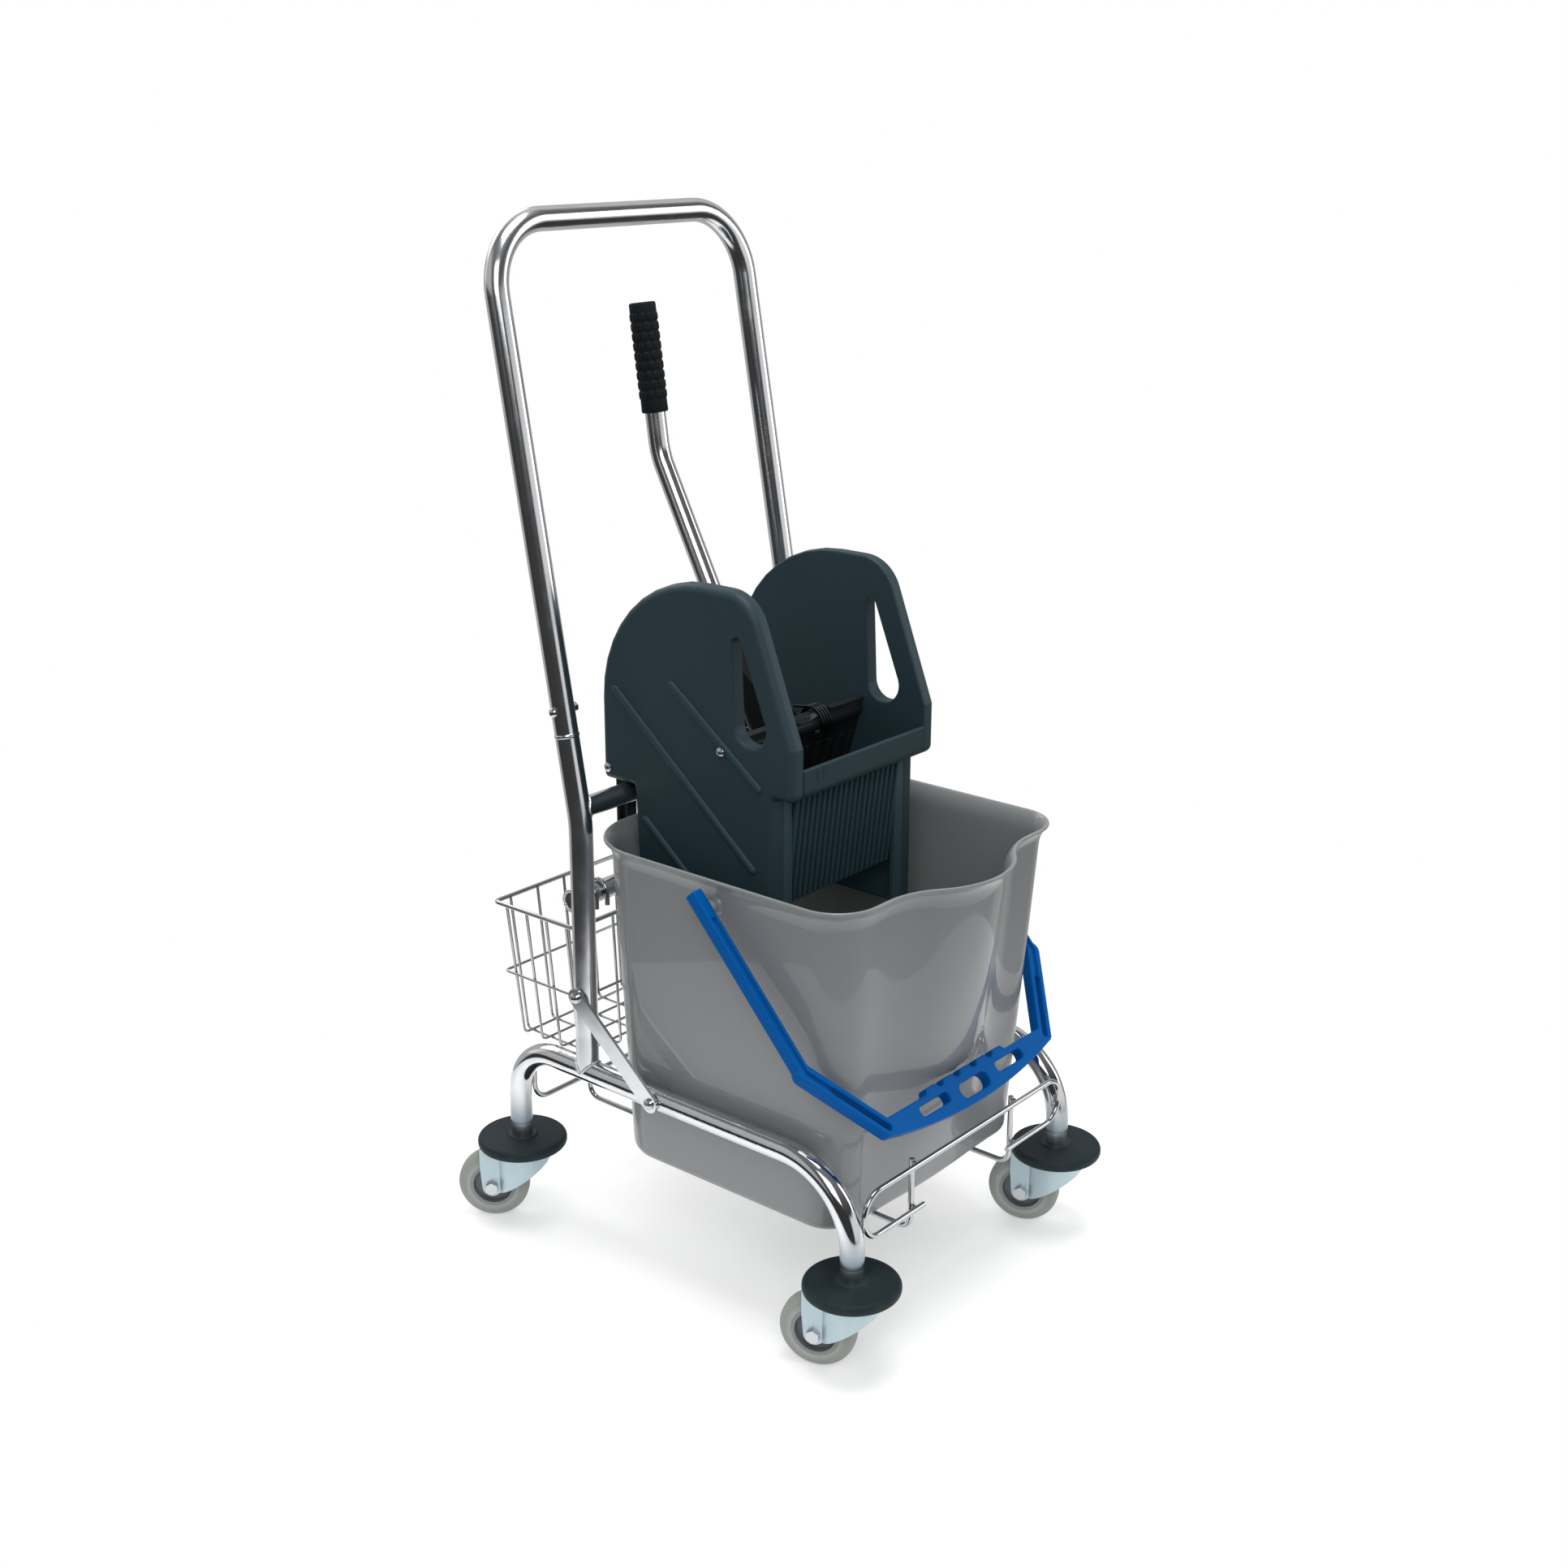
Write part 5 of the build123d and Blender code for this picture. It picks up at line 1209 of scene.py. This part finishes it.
@dataclass
class Basket:
    """Welded wire basket with two pairs of hooks; rim and floor are half width, rear face and height."""

    wire: float = 1.6
    rim_wire: float = 2.5
    rim: Corner = (165.0, 287.0, 362.0)
    floor: Corner = (152.0, 279.0, 200.0)
    mid_z: float = 278.0
    front_y: float = 162.8
    corner: float = 6.0
    bend: float = 7.0
    inset: float = 3.0
    back_wires: int = 8
    side_wires: int = 4
    bar: Flat = (144.0, 405.0)
    bar_radius: float = 11.3
    hook_y: float = 157.8
    hook_x: float = 154.0
    hook_half: float = 8.0
    hook_drop: float = 12.0
    hook_slack: float = 0.4

    def loop(self, z: float, inset: float) -> list[Vector]:
        """Level wire round the basket with tight corners.

        Args:
            z: its height.
            inset: how far it is drawn in.

        Returns:
            The line.
        """
        share = (z - self.floor[2]) / (self.rim[2] - self.floor[2])
        half, rear = (mix(pair, share) for pair in list(zip(self.floor, self.rim))[:2])
        outline = rectangle((-half, self.front_y), (half, rear), self.corner, 5)
        return [Vector((x, y, z)) for x, y in outline.ring(inset)]

    def hanging_wires(self) -> list[list[Vector]]:
        """Wires that hang from the rim, bend under the floor and rise on the other side.

        Returns:
            The lines.
        """
        lines = []
        (rim_x, rim_y, high), (floor_x, floor_y, low) = self.rim, self.floor
        near = self.front_y + self.inset
        for index in range(self.back_wires):
            share = (index + 0.5) / self.back_wires * 2 - 1
            foot, head = share * floor_x, share * rim_x
            lines.append(bent_line([(head, near, high), (foot, near, low), (foot, floor_y - self.inset, low),
                                    (head, rim_y - self.inset, high)], self.bend))
        low += 2 * self.wire
        rim_x -= self.inset
        floor_x -= self.inset
        for index in range(self.side_wires):
            share = (index + 0.5) / self.side_wires
            foot, head = mix((self.front_y, floor_y), share), mix((self.front_y, rim_y), share)
            lines.append(bent_line([(-rim_x, head, high), (-floor_x, foot, low), (floor_x, foot, low),
                                    (rim_x, head, high)], self.bend))
        return lines

    def hooks(self) -> list[list[Vector]]:
        """Hook wires over the lower crossbar.

        Returns:
            The lines.
        """
        lines = []
        bend = self.bar_radius + self.rim_wire
        front, top = self.bar[0] - bend, self.bar[1] + bend
        foot, tip = self.rim[2] - self.hook_drop, self.bar[1] - self.hook_drop
        for side in Side:
            for edge in (-1, 1):
                x = side.value * self.hook_x + edge * self.hook_half
                lines.append(bent_line([(x, self.hook_y, foot), (x, self.hook_y, top), (x, front, top),
                                        (x, front, tip)], bend - self.hook_slack, 12))
        return lines

    def build(self) -> None:
        """Makes the wires and hangs them on the basket's body."""
        rim, middle = [self.loop(self.rim[2], 0.0)], [self.loop(self.mid_z, 0.4)]
        for start, radius, sides, replaces in (
                (edge_mesh("basket_rim", rim, closed=True), self.rim_wire, 14, ["wire_basket"]),
                (edge_mesh("basket_hooks", self.hooks()), self.rim_wire, 14, []),
                (edge_mesh("basket_middle", middle, closed=True), self.wire, 10, []),
                (edge_mesh("basket_wires", self.hanging_wires()), self.wire, 10, [])):
            piece = wire_recipe().run(start, Finish.WIRE_CHROME, Radius=radius * MM, Sides=sides)
            fit(piece, "basket_body", "chrome", *replaces)


@dataclass
class Wringer:
    """Side plates, front beam with its ribbed grid, hook brackets, rods and shaft."""

    inner: float = 100.0
    outer: float = 118.0
    edge: float = 8.0
    back_edge: float = 2.4
    front_y: float = -102.0
    body_y: float = -76.0
    rear_y: float = 160.0
    foot_z: float = 372.0
    hook_z: float = 522.3
    ear_z: float = 548.0
    top_z: float = 752.0
    window: tuple[Corner, Corner] = ((-28.0, 700.0, 6.0), (-46.0, 617.0, 20.0))
    window_edge: float = 4.0
    ribs: tuple[tuple[Flat, Flat], ...] = (
        ((138.0, 624.0), (-50.0, 468.0)), ((58.0, 643.0), (-58.0, 556.0)), ((98.0, 489.0), (38.0, 440.0)))
    rib_width: float = 9.0
    rib_height: float = 3.0
    # Width and depth of the front posts
    post: Flat = (14.0, 7.0)
    post_edge: float = 1.2
    crease: float = 50.0
    beam_top: float = 580.0
    # Thickness of the beam's wall and flange, and where its two marks are
    beam_wall: Flat = (4.4, 4.0)
    marks: Flat = (-78.0, -69.0)
    grid_top: Flat = (-80.0, 552.0)
    grid_foot: Flat = (-66.0, 427.0)
    grid_half: float = 85.6
    grid_wall: float = 4.0
    grid_shelf: float = 18.0
    grid_ribs: int = 20
    grid_rib_half: float = 2.2
    grid_margin: float = 2.5

    def outline(self) -> Outline:
        """Outline of a side plate, from its rear top corner.

        Returns:
            The outline.
        """
        return Outline(((self.rear_y, self.top_z, 140.0), (-45.0, self.top_z, 46.0),
                        (self.front_y, 603.0, 7.0), (self.front_y, self.ear_z, 9.0),
                        (self.body_y, self.ear_z, 4.0), (self.body_y, self.foot_z, 6.0),
                        (108.4, self.foot_z, 6.0), (116.3, self.hook_z, 3.0),
                        (self.rear_y, self.hook_z, 6.0)), 10)

    def window_ring(self, grow: float) -> list[Flat]:
        """Teardrop outline of the hand hole.

        Args:
            grow: how far it is widened.

        Returns:
            The points.
        """
        (top_y, top_z, top_r), (foot_y, foot_z, foot_r) = self.window
        bearing = degrees(atan2(foot_z - top_z, foot_y - top_y))
        spread = degrees(acos((top_r - foot_r) / hypot(foot_y - top_y, foot_z - top_z)))
        top = arc((top_y, top_z), top_r + grow, bearing + spread, bearing + 360 - spread, 14)
        return top + arc((foot_y, foot_z), foot_r + grow, bearing - spread, bearing + spread, 22)

    def skin(self, side: Side, edge: float, ring: Callable[[float], list[Flat]]) -> list[list[Vector]]:
        """Skin through a plate, from its outer face round an edge to its inner face.

        Args:
            side: the plate's side.
            edge: radius of the outer edge.
            ring: the outline for an inset.

        Returns:
            The rings.
        """
        rows = [(self.outer - depth, inset) for depth, inset in quarter(edge)]
        rows += [(self.inner + depth, inset) for inset, depth in quarter(self.back_edge, 30)]
        return [lift(side.value * x, ring(inset)) for x, inset in rows]

    def add_rib(self, stock: Stock, side: Side, start: Flat, end: Flat) -> None:
        """Adds a raised rib to a plate's outer face, round in section and at its ends.

        Args:
            stock: what it is added to.
            side: the plate's side.
            start: where the rib starts.
            end: where it ends.
        """
        run = Vector(end) - Vector(start)
        along = run.normalized()
        across = Vector((-along.y, along.x))
        half = self.rib_width / 2
        stations = [(-half * cos(turn), max(0.02, sin(turn))) for turn in turns(90, 15)]
        stations += [(run.length - offset, width) for offset, width in reversed(stations)]
        rings = []
        for offset, width in stations:
            ring = []
            for turn in circle(18):
                flat = Vector(start) + along * offset + across * half * width * cos(turn)
                ring.append(Vector((side.value * (self.outer + self.rib_height * width * sin(turn)), *flat)))
            rings.append(ring)
        stock.loft(rings)

    def plate(self, side: Side) -> Object:
        """One side plate with its hand hole, ribs and front post.

        Args:
            side: the plate's side.

        Returns:
            The piece.
        """
        stock = Stock()
        body = self.skin(side, self.edge, self.outline().ring)
        hole = self.skin(side, self.window_edge, self.window_ring)
        stock.loft(body, False, False)
        stock.loft(hole, False, False)
        stock.fill([body[0], hole[0]])
        stock.fill([body[-1], hole[-1]])
        for start, end in self.ribs:
            self.add_rib(stock, side, start, end)
        near, far = self.inner - self.post[0], self.inner + 0.4
        front, rear = self.body_y, self.body_y + self.post[1]
        low, high, edge = self.foot_z, self.ear_z - 0.2, self.post_edge
        post = Outline(((near, front, edge), (far, front, edge), (far, rear, edge), (near, rear, 2.0)), 3)
        levels = ((low, edge), (low + edge, 0.0), (high - edge, 0.0), (high, edge))
        stock.loft([[Vector((side.value * x, y, z)) for x, y in post.ring(inset)] for z, inset in levels])
        name = f"{side.name.lower()}_side_plate_moulding"
        return even_normals(stock.piece(name, Finish.WRINGER, self.crease))

    def beam_painted_shade(self) -> Object:
        """Front beam, a wall with a flange below and two raised marks, and the panel behind the grid ribs.

        Returns:
            The piece.
        """
        stock = Stock()
        wall, flange = self.front_y + self.beam_wall[0], self.ear_z + self.beam_wall[1]
        section = Outline(((wall, self.beam_top, 1.8), (self.front_y, self.beam_top, 1.8),
                           (self.front_y, self.ear_z, 9.0), (self.body_y, self.ear_z, 1.5),
                           (self.body_y, flange, 1.0), (wall, flange, 5.0)), 6)
        stock.loft([lift(x, section.ring()) for x in (-self.inner + 0.2, self.inner - 0.2)])
        (top_y, top_z), (foot_y, foot_z) = self.grid_top, self.grid_foot
        half, thick = self.grid_half, self.grid_wall
        shelf_y, shelf_z = foot_y + self.grid_shelf, foot_z + thick
        panel = Outline(((top_y + thick, top_z, 0.5), (top_y, top_z, 0.5), (foot_y, foot_z, 2.5),
                         (shelf_y, foot_z, 1.2), (shelf_y, shelf_z, 1.2), (foot_y + thick, shelf_z, 1.5)), 5)
        ends = ((-half, 1.0), (-half + 1.0, 0.0), (half - 1.0, 0.0), (half, 1.0))
        stock.loft([lift(x, panel.ring(inset)) for x, inset in ends])
        levels = ((self.front_y + 0.5, 0.0), (self.front_y - 0.3, 0.0), (self.front_y - 0.6, 0.3))
        for x in self.marks:
            mark = rectangle((x - 0.7, self.beam_top - 16.0), (x + 0.7, self.beam_top - 2.0), 0.6, 3)
            stock.loft([[Vector((a, y, b)) for a, b in mark.ring(inset)] for y, inset in levels])
        # the beam wears the darker copy of the wringer plastic, which is painted shade
        return even_normals(stock.piece("press_grid_beam", Finish.BEAM_PAINTED_SHADE, self.crease))

    def grid_rib(self) -> Mesh:
        """One rib of the grid, round in front, rounded over at its foot.

        Returns:
            The mesh.
        """
        stock = Stock()
        top, foot = Vector(self.grid_top), Vector(self.grid_foot)
        along = (foot - top).normalized()
        out = Vector((along.y, -along.x))
        reach = (foot - top).length
        half = self.grid_rib_half
        rings = []
        for offset, proud in ((0.0, 1.0), (reach - 3.0, 1.0), (reach - 1.0, 0.93), (reach + 0.4, 0.72),
                              (reach + 1.2, 0.4), (reach + 1.4, 0.05)):
            base = top + along * offset
            front = [(-half * cos(turn), 0.6 + 2.9 * proud * sin(turn)) for turn in turns(180, 20)]
            spots = [(-half, -1.0), *front, (half, -1.0)]
            rings.append([Vector((x, *(base + out * rise))) for x, rise in spots])
        stock.loft(rings)
        return stock.mesh("press_grid_ribs", self.crease)

    def build(self) -> None:
        """Makes the mouldings and dresses the other pieces."""
        for side in Side:
            fit(self.plate(side), "wringer", "wringer_plastic", f"{side.name.lower()}_side_plate")
        fit(self.beam_painted_shade(), "wringer", "wringer_plastic", "press_grid")
        first = self.grid_margin - self.grid_half
        pitch = -2 * first / (self.grid_ribs - 1)
        ribs = row_recipe().run(self.grid_rib(), Finish.WRINGER, Count=self.grid_ribs, First=first * MM,
                                Pitch=pitch * MM)
        fit(ribs, "wringer", "wringer_plastic")
        dress(Finish.BLACK, "hook_brackets")
        dress(Finish.BOLT_STEEL, "tie_rods", "pivot_shaft")


@dataclass
class Press:
    """Jaw, lever, knobbed grip and return spring."""

    pivot: Flat = (-11.0, 586.0)
    tip: Flat = (201.60, 1002.31)
    grip_lean: float = 8.3
    grip_length: float = 114.0
    grip_end: float = 4.0
    grip_radius: float = 15.0
    lever_radius: float = 11.3
    knob_rows: int = 9
    knobs_around: int = 10
    knob_half: Flat = (3.8, 4.2)
    # Height and size of each level of a knob
    knob_levels: tuple[Flat, ...] = ((-1.0, 1.0), (0.7, 1.0), (1.4, 0.86), (1.8, 0.55))
    knob_sink: float = 1.9
    # Lengths without knobs at the top and at the foot
    plain_ends: Flat = (15.0, 19.0)
    spring_wire: float = 1.5
    spring_radius: float = 16.0
    spring_pitch: float = 4.4
    spring_half_turns: int = 7
    spring_x: float = 21.0
    spring_leg: float = 52.0
    spring_reach: float = 175.57
    spring_turn: float = -8.40

    def on_grip(self, piece: Object) -> Object:
        """Moves a piece made upright on the Z axis, with its top at 0, onto the lever's end.

        Args:
            piece: the piece.

        Returns:
            The same piece.
        """
        lean = Matrix.Rotation(-radians(self.grip_lean), 4, "X")
        end = Matrix.Translation(Vector((0.0, *self.tip)) * MM)
        piece.data.transform(end @ lean @ Matrix.Translation((0, 0, self.grip_end * MM)))
        return piece

    def grip_sleeve(self) -> Object:
        """Sleeve of the grip with plain ends and a thinner middle under the knobs.

        Returns:
            The piece.
        """
        stock = Stock()
        plain, low = self.grip_radius - 0.9, self.grip_radius - 1.2
        foot, bore = -self.grip_length, self.lever_radius
        stock.turn([(0.0, 0.0), (plain - 2.5, 0.0), (plain - 0.7, -0.5), (plain, -2.2), (plain, -12.0),
                    (low, -14.0), (low, foot + 15.0), (plain - 0.2, foot + 13.0), (plain, foot + 2.0),
                    (plain - 0.6, foot + 0.5), (plain - 2.0, foot), (bore, foot), (bore, foot + 6.0)],
                   48, Axis.Z)
        return stock.piece("lever_grip_sleeve", Finish.GRIP, crease=60.0)

    def grip_knobs(self) -> Object:
        """Low pillow-shaped knobs round the sleeve.

        Returns:
            The piece.
        """
        stock = Stock()
        wide, tall = self.knob_half
        pad = rectangle((-wide, -tall), (wide, tall), 2.0, 2).ring()
        stock.loft([[Vector((x - 0.02 * a * a * size, a * size, b * size)) for a, b in pad]
                    for x, size in self.knob_levels])
        start = stock.mesh("lever_grip_knobs", crease=70.0)
        first = self.plain_ends[1] - self.grip_length
        pitch = (self.grip_length - sum(self.plain_ends)) / (self.knob_rows - 1)
        return knob_recipe().run(start, Finish.GRIP, Rows=self.knob_rows, Around=self.knobs_around,
                                 Sleeve=(self.grip_radius - self.knob_sink) * MM, First=first * MM,
                                 Pitch=pitch * MM)

    def spring_line(self) -> list[Vector]:
        """Route of the torsion spring about the pivot.

        Returns:
            The line.
        """
        line = [Vector((self.spring_x, self.spring_leg, self.spring_radius))]
        steps = 14 * self.spring_half_turns
        for step in range(steps + 1):
            turn = pi * self.spring_half_turns * step / steps
            x = self.spring_x + self.spring_pitch * turn / (2 * pi)
            line.append(Vector((x, -self.spring_radius * sin(turn), self.spring_radius * cos(turn))))
        line.append(Vector((line[-1].x, self.spring_reach, -self.spring_radius)))
        turn = Matrix.Rotation(radians(self.spring_turn), 3, "X")
        return [turn @ point + Vector((0.0, *self.pivot)) for point in line]

    def add_spring(self) -> None:
        """Makes the spring in place and hides the CAD return spring."""
        start = edge_mesh("torsion_spring", [self.spring_line()])
        spring = wire_recipe().run(start, Finish.BLACK_STEEL, Radius=self.spring_wire * MM, Sides=12)
        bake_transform(spring)
        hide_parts("return_spring")
        log.info("piece %s bends between press and wringer", spring.name)

    def build(self) -> None:
        """Makes the grip and the spring, and dresses the jaw and the lever."""
        dress(Finish.BLACK, "press_jaw")
        dress(Finish.CHROME, "lever_tube")
        dress(Finish.BOLT_STEEL, "lever_bolt")
        fit(self.on_grip(self.grip_sleeve()), "press", "grip_rubber", "lever_grip")
        fit(self.on_grip(self.grip_knobs()), "press", "grip_rubber")
        self.add_spring()


# Studio


@dataclass
class Studio:
    """Camera at the photograph's angle, pale floor and soft light, in metres; focal length in pixels."""

    eye: Corner = (-1.59625, -1.32464, 1.21356)
    yaw: float = 50.157
    pitch: float = 18.504
    roll: float = -0.133
    focal: float = 2543.5
    image_width: float = 1932.0
    sensor_width: float = 36.0
    ambient: float = 0.34
    target: Corner = (0.0, 0.0, 0.45)
    floor_radius: float = 0.85
    floor_sides: int = 64
    # Name, place, width and height, and watts of each lamp
    lamps: tuple[tuple[str, Corner, Flat, float], ...] = (
        ("key", (-2.4, -2.0, 2.6), (2.0, 2.0), 42.0), ("fill", (2.6, -2.2, 1.7), (1.2, 2.0), 18.0),
        ("back", (0.6, 2.8, 2.4), (2.4, 1.2), 22.0), ("top", (0.0, -0.2, 3.4), (1.6, 1.6), 56.0))

    def camera(self) -> None:
        """Places the camera."""
        data = bpy.data.cameras.new("photo_camera")
        data.sensor_width = self.sensor_width
        data.lens = self.focal / self.image_width * self.sensor_width
        data.clip_end = 100.0
        yaw, pitch, roll = radians(self.yaw), radians(self.pitch), radians(self.roll)
        ahead = Vector((sin(yaw) * cos(pitch), cos(yaw) * cos(pitch), -sin(pitch)))
        right = Vector((cos(yaw), -sin(yaw), 0.0))
        down = ahead.cross(right)
        across = right * cos(roll) + down * sin(roll)
        under = down * cos(roll) - right * sin(roll)
        turn = Matrix((across, -under, -ahead)).transposed().to_4x4()
        camera = bpy.data.objects.new("photo_camera", data)
        camera.matrix_world = Matrix.Translation(self.eye) @ turn
        bpy.context.scene.collection.objects.link(camera)
        bpy.context.scene.camera = camera

    def lamp(self, name: str, place: Corner, size: Flat, power: float) -> None:
        """Adds one soft box that points at the target.

        Args:
            name: the lamp's name.
            place: where it stands.
            size: its width and height.
            power: watts.
        """
        data = bpy.data.lights.new(name, "AREA")
        data.shape = "RECTANGLE"
        data.size, data.size_y = size
        data.energy = power
        lamp = bpy.data.objects.new(name, data)
        aim = (Vector(self.target) - Vector(place)).to_track_quat("-Z", "Y")
        lamp.matrix_world = Matrix.Translation(place) @ aim.to_matrix().to_4x4()
        bpy.context.scene.collection.objects.link(lamp)

    def floor(self) -> None:
        """Lays a round pale floor."""
        radius = self.floor_radius / MM
        rim = [(radius * cos(turn), radius * sin(turn), 0.0) for turn in circle(self.floor_sides)]
        place_piece(bare_mesh("studio_floor", rim, [], [tuple(range(len(rim)))]), Finish.FLOOR)

    def world(self) -> None:
        """Surroundings like a photographer's room: white behind, two light panels, dark elsewhere."""
        world = bpy.data.worlds.new("studio")
        bpy.context.scene.world = world
        world.use_nodes = True
        sheet = NodeSheet(world.node_tree)
        sheet.tree.nodes.clear()
        place = sheet.node("ShaderNodeTexCoord").outputs["Generated"]
        parts = sheet.node("ShaderNodeSeparateXYZ", {0: place}).outputs
        east, north, up = (Value(sheet, part) for part in parts)
        behind = (east * 0.62 + north * 0.78).ease(0.30, 0.50)
        left = (north * 0.62 - east * 0.78).ease(0.62, 0.82) * up.ease(0.02, 0.14)
        right = (east * 0.42 - north * 0.91).ease(0.72, 0.86) * (1.0 - (up * up).ease(0.03, 0.10))
        level = 0.040 + behind * 0.46 + left * 0.45 + right * 0.80 + up.ease(0.20, 0.95) * 0.16
        rays = sheet.node("ShaderNodeLightPath").outputs
        seen, mirrored = (Value(sheet, rays[kind]) for kind in ("Is Camera Ray", "Is Glossy Ray"))
        soft = level + (1.0 - mirrored) * self.ambient
        shown = soft + seen * (1.0 - soft)
        light = sheet.node("ShaderNodeBackground", {"Color": shown, "Strength": 1.0})
        sheet.node("ShaderNodeOutputWorld", {"Surface": light})

    def build(self) -> None:
        """Sets up the whole studio."""
        self.camera()
        self.floor()
        self.world()
        for lamp in self.lamps:
            self.lamp(*lamp)
        bpy.context.scene.view_settings.view_transform = "Standard"


def main() -> None:
    """Builds every sub-assembly in order."""
    logging.basicConfig(level=logging.INFO, format="%(message)s")
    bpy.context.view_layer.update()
    Studio().build()
    casters = [Caster(place) for place in ("front_left", "front_right", "rear_left", "rear_right")]
    for part in (TubeFrame(), WireCradle(), *casters, Bucket(), Bail(), Basket(), Wringer(), Press()):
        part.build()
        log.info("%s done", type(part).__name__)


if __name__ == "__main__":
    main()
